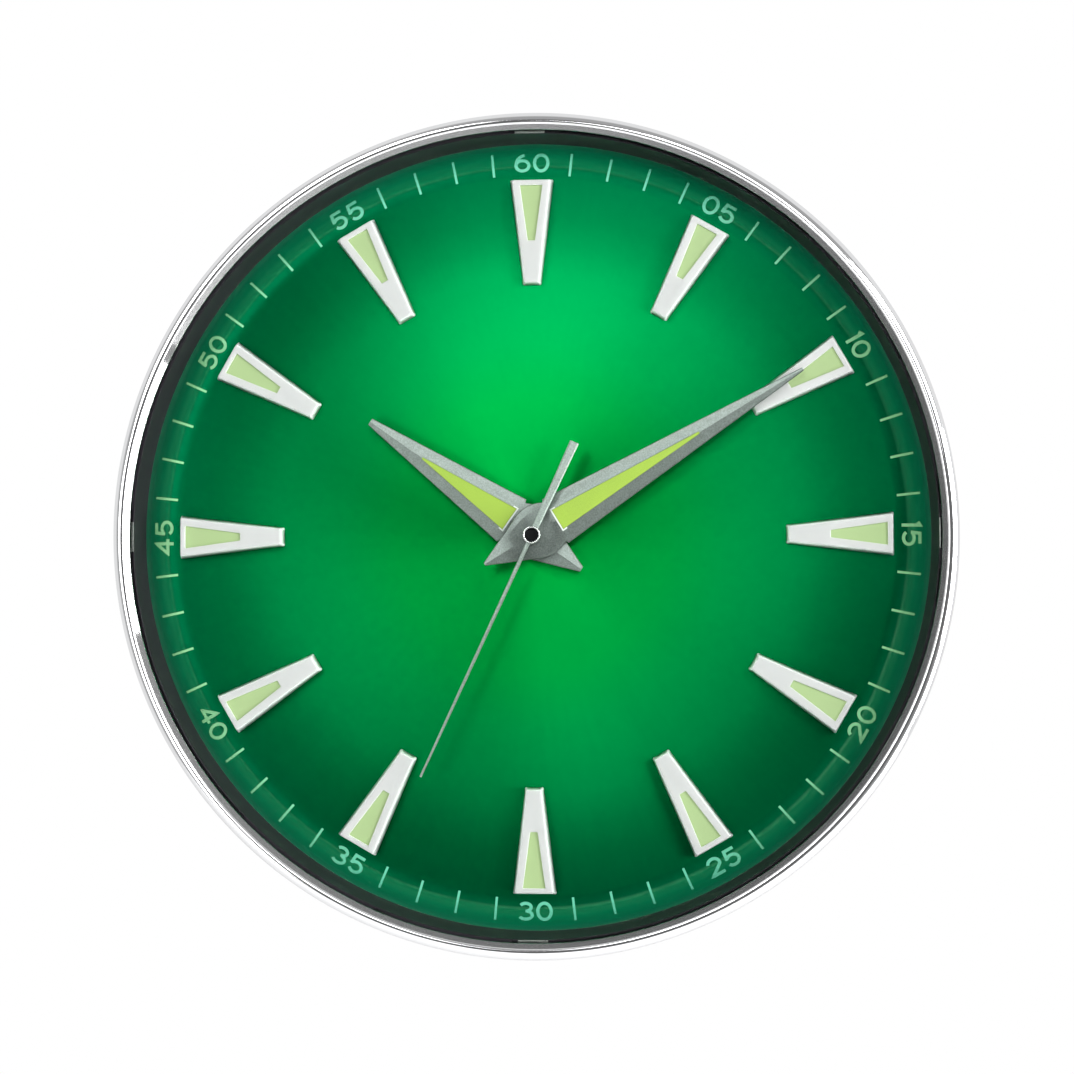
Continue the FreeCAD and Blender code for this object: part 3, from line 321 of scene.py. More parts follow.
def glass_material():
    """Thin coated pane: light goes straight through, and only a grazing view mirrors."""
    look = Look("clear_glass")
    nodes = look.tree.nodes
    nodes.remove(look.shader)
    output = nodes["Material Output"]
    clear = look.node("ShaderNodeBsdfTransparent", None, Color=(0.985, 0.995, 0.99, 1.0))
    smear = look.noise(look.place(), 14.0, detail=4.0)
    mirror = look.node("ShaderNodeBsdfGlossy", None, Color=(1.0, 1.0, 1.0, 1.0),
                       Roughness=look.spread(smear, 0.01, 0.05))
    fresnel = look.node("ShaderNodeFresnel", None, IOR=1.12).outputs[0]
    grazing = look.math("MAXIMUM", look.math("SUBTRACT", fresnel, 0.02), 0.0)
    mix = look.node("ShaderNodeMixShader", None, _0=grazing, _1=clear.outputs[0],
                    _2=mirror.outputs[0])
    look.feed(output.inputs["Surface"], mix.outputs[0])
    return look.material


def hand_material(name, colour, painted_boss_shade):
    """Fine-grained silver, brushed along the hand, with painted shade that may darken the boss."""
    look = Look(name, Metallic=0.9, Anisotropic=0.35)
    grain = look.noise(look.place(), 2000.0, detail=4.0)
    slow = look.noise(look.place(), 220.0, detail=3.0)
    _, radius = look.bearing_and_radius()
    # Painted shade: the base colour is darkened round the hub by the given level.
    painted_boss_shade_reach = 20 * MM
    boss = look.ramp(look.math("MULTIPLY", radius, 1 / painted_boss_shade_reach),
                     [(0.42, (painted_boss_shade, painted_boss_shade, painted_boss_shade)), (0.62, (1.0, 1.0, 1.0))])
    value = look.math("MULTIPLY", look.spread(grain, 0.35, 1.45), look.spread(slow, 0.9, 1.1))
    look.set("Base Color", look.tint(look.tint(colour, value), boss))
    look.set("Roughness", look.spread(grain, 0.30, 0.46))
    look.bump(grain, 0.22, 0.00006)
    return look.material


def marker_material():
    """Satin white moulding; its colour is painted lighter on the drafted walls than on the top, as
    painted light.
    """
    look = Look("marker_white", Roughness=0.32, Subsurface_Weight=1.0, Subsurface_Scale=0.0035)
    look.shader.inputs["Subsurface Radius"].default_value = (1.0, 1.0, 1.0)
    grain = look.noise(look.place(), 300.0)
    # Painted light: the base colour is lighter on the walls and darker where the surface faces
    # along the hand axis.
    normal = look.node("ShaderNodeNewGeometry").outputs["Normal"]
    painted_light_facing = look.math("ABSOLUTE", look.parts(normal)[1])
    level = look.math("MULTIPLY", look.spread(painted_light_facing, 1.0, 0.52), look.spread(grain, 0.97, 1.02))
    look.set("Base Color", look.tint((1.0, 1.0, 1.0), level))
    look.bump(grain, 0.02, 0.0001)
    return look.material


def winding_material():
    """Enamelled copper wire wound round the bobbin: fine rings along its length, with painted shade
    between the turns.
    """
    look = Look("copper_wire", Metallic=0.8, Roughness=0.3)
    height = look.parts(look.place())[2]
    wire_pitch = 0.25 * MM
    # The wave bumps the turns and also darkens the colour in the grooves between them: painted
    # shade.
    turn_bumps_and_shade = look.math("SINE", look.math("MULTIPLY", height, TURN / wire_pitch))
    look.set("Base Color", look.tint((0.55, 0.20, 0.07), look.spread(turn_bumps_and_shade, 0.55, 1.0)))
    look.bump(turn_bumps_and_shade, 0.5, 0.00005)
    return look.material


def battery_material():
    """Dry cell wrap: dark film with a metallic band at the positive end."""
    look = Look("cell_wrap", Roughness=0.3)
    across = look.parts(look.place())[0]
    grain = look.noise(look.place(), 900.0)
    cell = 51 * MM
    band = look.ramp(look.math("MULTIPLY", look.math("ADD", across, cell / 2), 1 / cell), [
        (0.02, (0.55, 0.55, 0.53)), (0.035, (0.015, 0.03, 0.055)), (0.66, (0.015, 0.03, 0.055)),
        (0.675, (0.45, 0.24, 0.07)), (0.955, (0.5, 0.27, 0.08)), (0.965, (0.6, 0.6, 0.58)),
    ])
    look.set("Base Color", look.tint(band, look.spread(grain, 0.9, 1.05)))
    look.set("Metallic", look.ramp(across, [(0.008, (0.1, 0.1, 0.1)),
                                            (0.0085, (0.85, 0.85, 0.85))]))
    return look.material


LOOKS = {
    "chrome": chrome_material(),
    "lens": glass_material(),
    "dial_green": dial_material(),
    "print": print_material(),
    # The last number is the level of painted shade on the boss.
    "hand_silver": hand_material("hand_silver", (0.25, 0.29, 0.27), 0.66),
    "second_silver": hand_material("second_silver", (0.40, 0.47, 0.43), 1.0),
    "copper": winding_material(),
    "cell_wrap": battery_material(),
    "black_satin": grained("black_satin", (0.021, 0.019, 0.023), 0.36, grain=900.0, bump=0.04,
                           Specular_IOR_Level=0.1),
    "pad_white": grained("pad_white", (0.62, 0.66, 0.62), 0.5),
    "hub_ring": grained("hub_ring", (0.86, 0.88, 0.87), 0.24, 1.0, grain=1500.0),
    "hub_shadow": grained("hub_shadow", (0.006, 0.006, 0.007), 0.7, Specular_IOR_Level=0.05),
    "seal_black": grained("seal_black", (0.02, 0.02, 0.02), 0.6),
    "case_black": grained("case_black", (0.022, 0.023, 0.025), 0.55, grain=1400.0, contrast=0.3,
                          bump=0.5),
    "marker_white": marker_material(),
    "lume_green": grained("lume_green", (0.30, 0.405, 0.185), 0.7, grain=2200.0, contrast=0.10,
                          bump=0.15),
    "lume_yellow": grained("lume_yellow", (0.275, 0.405, 0.042), 0.7, grain=2200.0, contrast=0.14,
                           bump=0.2),
    "movement_black": grained("movement_black", (0.03, 0.03, 0.033), 0.5, grain=1500.0,
                              contrast=0.25, bump=0.3),
    "zinc": grained("zinc", (0.62, 0.62, 0.60), 0.3, 1.0, grain=1200.0),
    "brass": grained("brass", (0.74, 0.54, 0.24), 0.28, 1.0, grain=1200.0),
    "steel": grained("steel", (0.58, 0.58, 0.60), 0.25, 1.0, grain=1500.0),
    "washer_steel": grained("washer_steel", (0.62, 0.62, 0.60), 0.3, 1.0, grain=1500.0),
    "contact": grained("contact", (0.70, 0.70, 0.67), 0.25, 1.0, grain=900.0),
    "stator": grained("stator", (0.40, 0.40, 0.41), 0.4, 1.0, grain=900.0),
    "magnet": grained("magnet", (0.16, 0.16, 0.17), 0.45, 0.8, grain=1800.0),
    "crystal_can": grained("crystal_can", (0.66, 0.66, 0.68), 0.25, 1.0, grain=700.0),
    "board": grained("board", (0.02, 0.17, 0.06), 0.35, grain=500.0, contrast=0.25),
    "epoxy": grained("epoxy", (0.015, 0.015, 0.015), 0.22, grain=300.0),
    "bobbin": grained("bobbin", (0.72, 0.68, 0.56), 0.45, grain=700.0),
    "gear_white": grained("gear_white", (0.80, 0.79, 0.72), 0.42, grain=900.0),
}

# ---------------------------------------------------------------- meshes


def new_piece(name, mesh, slot, body, look=None, replaces=()):
    """Turn a bmesh into a piece that rides on a body and may stand for CAD nodes."""
    data = bpy.data.meshes.new(name)
    bmesh.ops.recalc_face_normals(mesh, faces=mesh.faces)
    mesh.to_mesh(data)
    mesh.free()
    piece = bpy.data.objects.new(name, data)
    bpy.context.scene.collection.objects.link(piece)
    data.materials.append(LOOKS[look or slot])
    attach(piece, body)
    if replaces:
        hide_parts(*replaces)
    return piece


def shade(piece, sharp_angle=30.0):
    """Smooth shading that keeps edges sharper than the angle."""
    for polygon in piece.data.polygons:
        polygon.use_smooth = True
    mesh = bmesh.new()
    mesh.from_mesh(piece.data)
    limit = math.radians(sharp_angle)
    for edge in mesh.edges:
        if len(edge.link_faces) == 2:
            edge.smooth = edge.calc_face_angle() < limit
    mesh.to_mesh(piece.data)
    mesh.free()
    return piece


def polar(radius, bearing, depth):
    """Point in the row frame, in metres, from millimetres and degrees."""
    angle = math.radians(bearing)
    return Vector((radius * math.sin(angle) * MM, -depth * MM, radius * math.cos(angle) * MM))


def arc(centre, radius, start, end, count=10):
    """Points (radius, depth) on an arc, angles in degrees from the outward direction."""
    angles = [math.radians(start + (end - start) * n / count) for n in range(count + 1)]
    return [(centre[0] + radius * math.cos(a), centre[1] + radius * math.sin(a)) for a in angles]


def skin_rings(mesh, rings, closed_rings=True):
    """Join equal rings of vertices with quads."""
    for first, second in zip(rings, rings[1:]):
        count = len(first)
        for n in range(count if closed_rings else count - 1):
            after = (n + 1) % count
            mesh.faces.new((first[n], first[after], second[after], second[n]))


def cap_ends(mesh, rings):
    """Close the first and the last ring."""
    mesh.faces.new(rings[0])
    mesh.faces.new(rings[-1][::-1])


def lathe(section, segments=360, closed=True):
    """Turn a section of (radius, depth) points about the hand axis."""
    mesh = bmesh.new()
    rings = []
    for radius, depth in section:
        if radius < 1e-6:
            rings.append([mesh.verts.new(polar(0.0, 0.0, depth))])
        else:
            rings.append([mesh.verts.new(polar(radius, 360.0 * n / segments, depth))
                          for n in range(segments)])
    pairs = list(zip(rings, rings[1:])) + ([(rings[-1], rings[0])] if closed else [])
    for first, second in pairs:
        if len(first) == len(second) == 1:
            continue
        for n in range(segments):
            after = (n + 1) % segments
            corners = [first[n % len(first)], first[after % len(first)],
                       second[after % len(second)], second[n % len(second)]]
            mesh.faces.new(list(dict.fromkeys(corners)))
    return mesh


def easing_radius(run, drop):
    """Radius of an arc that starts level and falls by drop over run."""
    return (run * run + drop * drop) / (2 * drop)


def dial_face_depth(radius):
    """Depth of the dial's front face: flat, then rolled back towards the rim."""
    roll = easing_radius(DIAL_EDGE_RADIUS - DIAL_FLAT_RADIUS, DIAL_EDGE_DROP)
    run = min(max(radius - DIAL_FLAT_RADIUS, 0.0), DIAL_EDGE_RADIUS - DIAL_FLAT_RADIUS)
    return DIAL_DEPTH - (roll - math.sqrt(roll ** 2 - run ** 2))


# ---------------------------------------------------------------- case

def make_bezel():
    """Skirt, slight taper, rounded front, eased crest, then the cone that falls to the lip."""
    crest_radius = FRONT_RADIUS - FRONT_ROUND
    ease = easing_radius(CREST_EASE, CREST_FALL)
    ease_end = math.degrees(math.asin(CREST_EASE / ease))
    taper_angle = math.degrees(math.atan2(CASE_RADIUS - FRONT_RADIUS, CREST_DEPTH - TAPER_DEPTH))
    lip_back = LENS_FRONT + GASKET
    inner = CASE_RADIUS - SKIN
    inner_front = FRONT_RADIUS - SKIN
    foot_round = 0.4
    lip_ease, lip_ease_height = 0.05, 0.07
    lip_front = lip_back + LIP_EDGE
    section = [(inner, SKIRT_DEPTH), (CASE_RADIUS - foot_round, SKIRT_DEPTH)]
    section += arc((CASE_RADIUS - foot_round, SKIRT_DEPTH + foot_round), foot_round, -90, 0, 4)
    section += [(CASE_RADIUS, TAPER_DEPTH)]
    section += arc((crest_radius, CREST_DEPTH - FRONT_ROUND), FRONT_ROUND, taper_angle, 90, 24)
    section += arc((crest_radius, CREST_DEPTH - ease), ease, 90, 90 + ease_end, 8)[1:]
    section += [(LIP_RADIUS + lip_ease, lip_front + lip_ease_height), (LIP_RADIUS, lip_front),
                (LIP_RADIUS, lip_back), (inner_front - LIP_HAUNCH, lip_back),
                (inner_front, lip_back - LIP_HAUNCH), (inner, TAPER_DEPTH)]
    return shade(new_piece("bezel_chrome", lathe(section), "chrome", "case",
                           replaces=["bezel_ring"]), 40.0)


def make_lens():
    """Flat pane with eased edges, which casts no shadow on the dial."""
    edge = 0.25
    section = [(0.0, LENS_BACK), (LENS_RADIUS - edge, LENS_BACK), (LENS_RADIUS, LENS_BACK + edge),
               (LENS_RADIUS, LENS_FRONT - edge), (LENS_RADIUS - edge, LENS_FRONT),
               (0.0, LENS_FRONT)]
    piece = shade(new_piece("lens_pane", lathe(section, closed=False), "lens", "case",
                            replaces=["lens_glass"]))
    piece.visible_shadow = False
    return piece


def make_surround():
    """Black wall with a small round at its top edge."""
    section = [(WALL_FOOT_RADIUS, WALL_FOOT), (WALL_OUTER, WALL_FOOT), (WALL_OUTER, LENS_BACK)]
    section += arc((WALL_TOP_RADIUS + WALL_TOP_BEVEL, LENS_BACK - WALL_TOP_BEVEL),
                   WALL_TOP_BEVEL, 90, 180, 6)
    return shade(new_piece("dial_wall", lathe(section), "black_satin", "case",
                           replaces=["dial_surround"]))


def make_dial():
    """Thin sheet with a flat face, a rim rolled back and a foot for the wall."""
    roll = [DIAL_FLAT_RADIUS + (DIAL_EDGE_RADIUS - DIAL_FLAT_RADIUS) * n / DIAL_ROLL_STEPS
            for n in range(DIAL_ROLL_STEPS + 1)]
    section = [(DIAL_HOLE, DIAL_DEPTH)]
    section += [(radius, DIAL_DEPTH) for radius in DIAL_RINGS]
    section += [(radius, dial_face_depth(radius)) for radius in roll]
    section += [(WALL_OUTER, DIAL_DEPTH - DIAL_EDGE_DROP), (WALL_OUTER, DIAL_RIM_BACK)]
    section += [(radius, dial_face_depth(radius) - DIAL_THICKNESS) for radius in reversed(roll)]
    section += [(DIAL_HOLE, DIAL_DEPTH - DIAL_THICKNESS)]
    return shade(new_piece("dial_face", lathe(section), "dial_green", "case",
                           replaces=["dial_plate"]))


# ---------------------------------------------------------------- printed track


def print_point(across, along, bearing):
    """Point of the print: across and along are measured at 12 o'clock, then turned."""
    radius = math.hypot(across, along)
    turn = bearing + math.degrees(math.atan2(across, along))
    return polar(radius, turn, dial_face_depth(radius) + PRINT_RISE)


def make_ticks():
    """Forty-eight minute strokes; the five-minute places hold numerals."""
    mesh = bmesh.new()
    steps = 8
    for minute in range(60):
        if minute % 5 == 0:
            continue
        rows = []
        for n in range(steps + 1):
            along = TICK_INNER + (TICK_OUTER - TICK_INNER) * n / steps
            rows.append([mesh.verts.new(print_point(side * TICK_WIDTH / 2, along, 6.0 * minute))
                         for side in (-1, 1)])
        skin_rings(mesh, rows, closed_rings=False)
    return mesh


def curve(centre, radii, start, end, count=14):
    """Points on an ellipse, angles in degrees anticlockwise from the right."""
    angles = [math.radians(start + (end - start) * n / count) for n in range(count + 1)]
    return [(centre[0] + radii[0] * math.cos(a), centre[1] + radii[1] * math.sin(a))
            for a in angles]


HALF_W = (NUMERAL_WIDTH - STROKE) / 2
HALF_H = (NUMERAL_HEIGHT - STROKE) / 2
DIGITS = {
    "0": [curve((0, 0), (HALF_W, HALF_H), 0, 360, 40)],
    "1": [[(-0.75, 2.3), (0.4, HALF_H + 0.1), (0.4, -HALF_H - STROKE / 2)]],
    "2": [curve((0, 1.05), (2.2, 1.85), 165, -25, 18)
          + [(-HALF_W, -HALF_H), (HALF_W + 0.1, -HALF_H)]],
    "3": [curve((0, 1.5), (2.0, 1.4), 150, -90, 16),
          curve((0, -1.4), (2.3, 1.5), 90, -155, 18)],
    "4": [[(HALF_W + 0.4, -1.35), (-HALF_W, -1.35), (1.1, HALF_H), (1.1, -HALF_H - STROKE / 2)]],
    "5": [[(1.95, HALF_H), (-1.65, HALF_H), (-2.0, 0.25)]
          + curve((-0.05, -1.0), (2.25, 1.9), 140, -150, 20)],
    "6": [curve((0, -1.0), (2.3, 1.9), 0, 360, 36),
          curve((1.0, -0.9), (3.3, 3.8), 180, 95, 14)],
}


def add_stroke(mesh, path, place):
    """A flat ribbon of the stroke's width along a path; place maps it onto the dial."""
    closed = math.dist(path[0], path[-1]) < 1e-6
    points = []
    for start, end in zip(path, path[1:]):
        start, end = Vector(start), Vector(end)
        pieces = max(1, round((end - start).length / PRINT_STEP))
        points += [start.lerp(end, n / pieces) for n in range(pieces)]
    if not closed:
        points.append(Vector(path[-1]))
    count = len(points)
    rows = []
    for n, point in enumerate(points):
        before = points[n - 1] if (n or closed) else None
        after = points[(n + 1) % count] if (n < count - 1 or closed) else None
        steps = [(point - before).normalized()] if before is not None else []
        steps += [(after - point).normalized()] if after is not None else []
        along = sum(steps, Vector((0, 0))).normalized()
        widen = 1 / max(0.5, along.dot(steps[0]))
        side = Vector((-along.y, along.x)) * STROKE / 2 * widen
        rows.append([mesh.verts.new(place(point + side)), mesh.verts.new(place(point - side))])
    skin_rings(mesh, rows + (rows[:1] if closed else []), closed_rings=False)


def make_numerals():
    """05 to 60; those below the middle stand upright, so their tops face the centre."""
    mesh = bmesh.new()
    for minute in range(5, 61, 5):
        flip = -1 if 20 <= minute <= 40 else 1
        digits = f"{minute:02d}"
        widths = [ONE_WIDTH if digit == "1" else NUMERAL_WIDTH for digit in digits]
        left, right = ((NUMERAL_GAP + width) / 2 for width in reversed(widths))
        for digit, offset in zip(digits, (-left, right)):
            def place(point, offset=offset, flip=flip, bearing=6.0 * minute):
                return print_point(flip * (point.x + offset), NUMERAL_RADIUS + flip * point.y,
                                   bearing)
            for path in DIGITS[digit]:
                add_stroke(mesh, path, place)
    return mesh


def make_print():
    """Minute strokes and numerals, each one piece."""
    for name, mesh in (("minute_track", make_ticks()), ("minute_numerals", make_numerals())):
        new_piece(name, mesh, "lume_green", "case", look="print")


# ---------------------------------------------------------------- hour markers

def inset_corners(corners, distance):
    """Corners of a convex outline moved inwards by a distance."""
    result = []
    count = len(corners)
    for n in range(count):
        before, here, after = (Vector(corners[n - 1]), Vector(corners[n]),
                               Vector(corners[(n + 1) % count]))
        first = (here - before).normalized()
        second = (after - here).normalized()
        bisector = (second - first).normalized()
        sine = abs(first.x * bisector.y - first.y * bisector.x)
        result.append(here + bisector * distance / sine)
    return result


def on_line(first, second, along):
    """Point of the line at the given second coordinate."""
    share = (along - first.y) / (second.y - first.y)
    return first + (second - first) * share


def marker_cage():
    """Marker at 12 o'clock: drafted walls, a falling inner half and a recess.
    Returns a bmesh whose edges carry bevel weights."""
    height = MARKER_TOP - DIAL_DEPTH
    half_out, half_in = MARKER_OUTER_WIDTH / 2, MARKER_INNER_WIDTH / 2
    base = [(-half_in, MARKER_INNER), (half_in, MARKER_INNER), (half_out, MARKER_OUTER),
            (-half_out, MARKER_OUTER)]
    low = height - MARKER_FALL
    high_corners = inset_corners(base, height * MARKER_DRAFT)
    low_corners = inset_corners(base, low * MARKER_DRAFT)
    mesh = bmesh.new()

    def vertex(point, rise):
        return mesh.verts.new(Vector((point[0] * MM, -(DIAL_DEPTH + rise) * MM, point[1] * MM)))

    floor = [vertex(p, 0.0) for p in base]
    inner = [vertex(p, low) for p in low_corners[:2]]
    outer = [vertex(p, height) for p in high_corners[2:]]
    bend_right = vertex(on_line(high_corners[1], high_corners[2], MARKER_BREAK), height)
    bend_left = vertex(on_line(high_corners[0], high_corners[3], MARKER_BREAK), height)
    lume = [(-LUME_INNER_WIDTH / 2, MARKER_BREAK), (LUME_INNER_WIDTH / 2, MARKER_BREAK),
            (LUME_OUTER_WIDTH / 2, LUME_OUTER), (-LUME_OUTER_WIDTH / 2, LUME_OUTER)]
    rim = [vertex(p, height) for p in lume]
    well = [vertex(p, INLAY_BACK - DIAL_DEPTH) for p in lume]
    new_face = mesh.faces.new
    new_face((floor[0], floor[1], inner[1], inner[0]))
    new_face((floor[1], floor[2], outer[0], bend_right, inner[1]))
    new_face((floor[2], floor[3], outer[1], outer[0]))
    new_face((floor[3], floor[0], inner[0], bend_left, outer[1]))
    new_face((inner[0], inner[1], bend_right, rim[1], rim[0], bend_left))
    new_face((bend_right, outer[0], rim[2], rim[1]))
    new_face((outer[0], outer[1], rim[3], rim[2]))
    new_face((outer[1], bend_left, rim[0], rim[3]))
    for n in range(4):
        new_face((rim[n], rim[(n + 1) % 4], well[(n + 1) % 4], well[n]))
    new_face(well)
    new_face(floor[::-1])
    weights = mesh.edges.layers.float.new("bevel_weight_edge")
    corner_weight, recess_weight, top_weight = 0.7, 0.12, 0.42
    corner_pairs = [{floor[0], inner[0]}, {floor[1], inner[1]}, {floor[2], outer[0]},
                    {floor[3], outer[1]}]
    low_set = set(floor)
    rim_set = set(rim) | set(well)
    for edge in mesh.edges:
        ends = set(edge.verts)
        if ends in corner_pairs:
            edge[weights] = corner_weight
        elif ends <= rim_set:
            edge[weights] = recess_weight
        elif not ends <= low_set:
            edge[weights] = top_weight
    return mesh


def make_markers():
    """Twelve equal markers, each turned to its hour."""
    for hour in range(1, 13):
        mesh = marker_cage()
        turn = Matrix.Rotation(math.radians(30.0 * hour), 4, "Y")
        bmesh.ops.transform(mesh, matrix=turn, verts=mesh.verts)
        piece = new_piece(f"marker_block_{hour:02d}", mesh, "marker_white", "case",
                          replaces=[f"hour_marker_{hour:02d}"])
        bevel = piece.modifiers.new("edge_round", "BEVEL")
        bevel.width = MARKER_ROUND * MM
        bevel.segments = 4
        bevel.limit_method = "WEIGHT"
        bevel.harden_normals = True
        for polygon in piece.data.polygons:
            polygon.use_smooth = True


# ---------------------------------------------------------------- hands

BOSS_BACK = -3.4
BOSS_BACK_HALF = 7.8
BOSS_ARC = 12.2
BOSS_DROP = 0.12
BOSS_SLOPE = 0.035
BOSS_FLAT_RADIUS = 6.0
BOSS_BLEND = 4.5
WAIST_HALF = 8.0
WAIST_TO_SHOULDER = 0.6
FACET_SLOPE = 0.13
EDGE_ROUND = 0.22
RIDGE_SHARE = 0.45
SLOT_DEPTH = 0.45
SLOT_END = 0.001
BLADE_SHARP_ANGLE = 4.0
LIP_SHARP_ANGLE = 50.0


class HandShape:
    """Half widths of one kite-shaped hand at stations along its length, from tail to tip."""

    def __init__(self, node, bearing, tip, tail, shoulder, slot):
        self.node = node
        # Each of these is (half width, distance from the axis).
        self.tip = tip
        self.tail = tail
        self.shoulder = shoulder
        self.slot_back, self.slot_tip = slot
        self.bearing = bearing
        self.back = back_depth(node)
        self.front = front_depth(node)

    def half_width(self, along):
        """Tail, rounded boss, small waist, then the long straight blade."""
        tail_half, tail_end = self.tail
        if along <= BOSS_BACK:
            share = (along + tail_end) / (tail_end + BOSS_BACK)
            return tail_half + (BOSS_BACK_HALF - tail_half) * share
        neck = self.shoulder[1] - WAIST_TO_SHOULDER
        if along <= neck:
            middle, half = (neck + BOSS_BACK) / 2, (neck - BOSS_BACK) / 2
            share = (along - BOSS_BACK) / (neck - BOSS_BACK)
            bulge = (math.sqrt(BOSS_ARC ** 2 - (along - middle) ** 2)
                     - math.sqrt(BOSS_ARC ** 2 - half ** 2))
            return BOSS_BACK_HALF + (WAIST_HALF - BOSS_BACK_HALF) * share + bulge
        if along <= self.shoulder[1]:
            share = (along - neck) / WAIST_TO_SHOULDER
            return WAIST_HALF + (self.shoulder[0] - WAIST_HALF) * share
        share = (along - self.shoulder[1]) / (self.tip[1] - self.shoulder[1])
        return self.shoulder[0] + (self.tip[0] - self.shoulder[0]) * share

    def slot_half(self, along):
        share = (along - self.slot_back[1]) / (self.slot_tip[1] - self.slot_back[1])
        return self.slot_back[0] + (self.slot_tip[0] - self.slot_back[0]) * share

    def rise(self, across, along):
        """Height of the top face: two facets that fall from a ridge, and a flatter boss."""
        facet = -FACET_SLOPE * abs(across)
        radius = math.hypot(across, along)
        boss = -BOSS_DROP - BOSS_SLOPE * radius
        share = min(max((radius - BOSS_FLAT_RADIUS) / BOSS_BLEND, 0.0), 1.0)
        share = share * share * (3 - 2 * share)
        return boss + (facet - boss) * share


HANDS = [
    HandShape("hour_hand", bearing=305.2, tip=(1.4, 70.5), tail=(1.1, 21.0), shoulder=(9.1, 9.2),
              slot=((4.5, 9.9), (0.45, 47.8))),
    HandShape("minute_hand", bearing=58.8, tip=(0.6, 111.0), tail=(0.6, 19.7), shoulder=(9.0, 9.6),
              slot=((4.0, 10.4), (0.5, 68.7))),
]


def hand_section(shape, along, in_slot):
    """Points (across, height above the hand's back) round one cross-section."""
    thickness = shape.front - shape.back
    half = shape.half_width(along)
    edge = min(EDGE_ROUND, half * 0.5)
    slot = shape.slot_half(along) if in_slot else half * RIDGE_SHARE

    def top(across):
        return thickness + shape.rise(across, along)

    drop = SLOT_DEPTH if in_slot else 0.0
    right = [(half, 0.0), (half, top(half) - edge), (half - edge, top(half - edge)),
             ((half + slot) / 2, top((half + slot) / 2)), (slot, top(slot)),
             (slot, top(slot) - drop)]
    left = [(-across, height) for across, height in reversed(right)]
    return right + [(0.0, top(0.0) - drop)] + left


def make_hand_mesh(shape):
    """Skin the sections from tail to tip: close together round the boss, wider on the blade."""
    start, end = -shape.tail[1], shape.tip[1]
    slot_start, slot_end = shape.slot_back[1], shape.slot_tip[1]
    boss_start, fine, fine_count = -12.0, 0.6, 42
    blade_start, coarse = 14.0, 3.0
    coarse_count = int((end - blade_start) / coarse)
    stations = {start, BOSS_BACK, shape.shoulder[1] - WAIST_TO_SHOULDER, shape.shoulder[1], end}
    stations |= {start + n for n in range(1, int(-start))}
    stations |= {boss_start + fine * n for n in range(fine_count)}
    stations |= {blade_start + coarse * n for n in range(coarse_count)}
    clear = 0.1
    stations = sorted(s for s in stations if start <= s <= end
                      and abs(s - slot_start) > clear and abs(s - slot_end) > clear)
    sections = [(s, slot_start < s < slot_end) for s in stations]
    sections += [(slot_start - SLOT_END, False), (slot_start, True), (slot_end, True),
                 (slot_end + SLOT_END, False)]
    sections.sort()
    mesh = bmesh.new()
    rings = []
    for along, in_slot in sections:
        rings.append([mesh.verts.new(Vector((across * MM, -(shape.back + height) * MM, along * MM)))
                      for across, height in hand_section(shape, along, in_slot)])
    skin_rings(mesh, rings)
    cap_ends(mesh, rings)
    bmesh.ops.remove_doubles(mesh, verts=mesh.verts, dist=1e-7)
    return mesh


def turned_to(mesh, bearing):
    bmesh.ops.transform(mesh, matrix=Matrix.Rotation(math.radians(bearing), 4, "Y"),
                        verts=mesh.verts)
    return mesh


def make_inlay_mesh(shape):
    """Luminous fill of the slot, slightly domed, a hair inside its walls."""
    mesh = bmesh.new()
    gap, steps = 0.12, 14
    sink, fill, root, crown, least_half = 0.05, 0.32, 0.35, 0.10, 0.25
    start, end = shape.slot_back[1] + gap, shape.slot_tip[1]
    floor = shape.front - SLOT_DEPTH - sink
    rings = []
    for n in range(steps + 1):
        along = start + (end - start) * n / steps
        half = max(shape.slot_half(along) - gap, least_half)
        dome = crown * half / shape.slot_back[0]
        level = floor + fill + shape.rise(half * 0.5, along)
        ring = [(half, floor - root), (half, level), (half * 0.5, level + dome * 0.75),
                (0.0, level + dome), (-half * 0.5, level + dome * 0.75), (-half, level),
                (-half, floor - root)]
        rings.append([mesh.verts.new(Vector((across * MM, -depth * MM, along * MM)))
                      for across, depth in ring])
    skin_rings(mesh, rings)
    cap_ends(mesh, rings)
    return mesh


def make_slot_lip(shape):
    """Narrow bright lip across the hub end of the slot, turned a little along its sides."""
    half, start = shape.slot_half(shape.slot_back[1]), shape.slot_back[1]
    width, height, root, reach, steps = 0.5, 0.12, 0.2, 1.5, 8
    side = shape.slot_half(start + reach)
    pairs = [((side + width, start + reach), (side, start + reach))]
    for n in range(steps + 1):
        share = 1 - 2 * n / steps
        pairs.append(((share * (half + width), start - width), (share * half, start)))
    pairs.append(((-side - width, start + reach), (-side, start + reach)))
    mesh = bmesh.new()
    rings = []
    for (x_out, z_out), (x_in, z_in) in pairs:
        face_out, face_in = (shape.front + shape.rise(x, z)
                             for x, z in ((x_out, z_out), (x_in, z_in)))
        corners = [(x_out, face_out - root, z_out), (x_out, face_out + height / 2, z_out),
                   ((x_out + x_in) / 2, (face_out + face_in) / 2 + height, (z_out + z_in) / 2),
                   (x_in, face_in + height / 2, z_in), (x_in, face_in - root, z_in)]
        rings.append([mesh.verts.new(Vector((x * MM, -depth * MM, z * MM)))
                      for x, depth, z in corners])
    skin_rings(mesh, rings)
    cap_ends(mesh, rings)
    return mesh


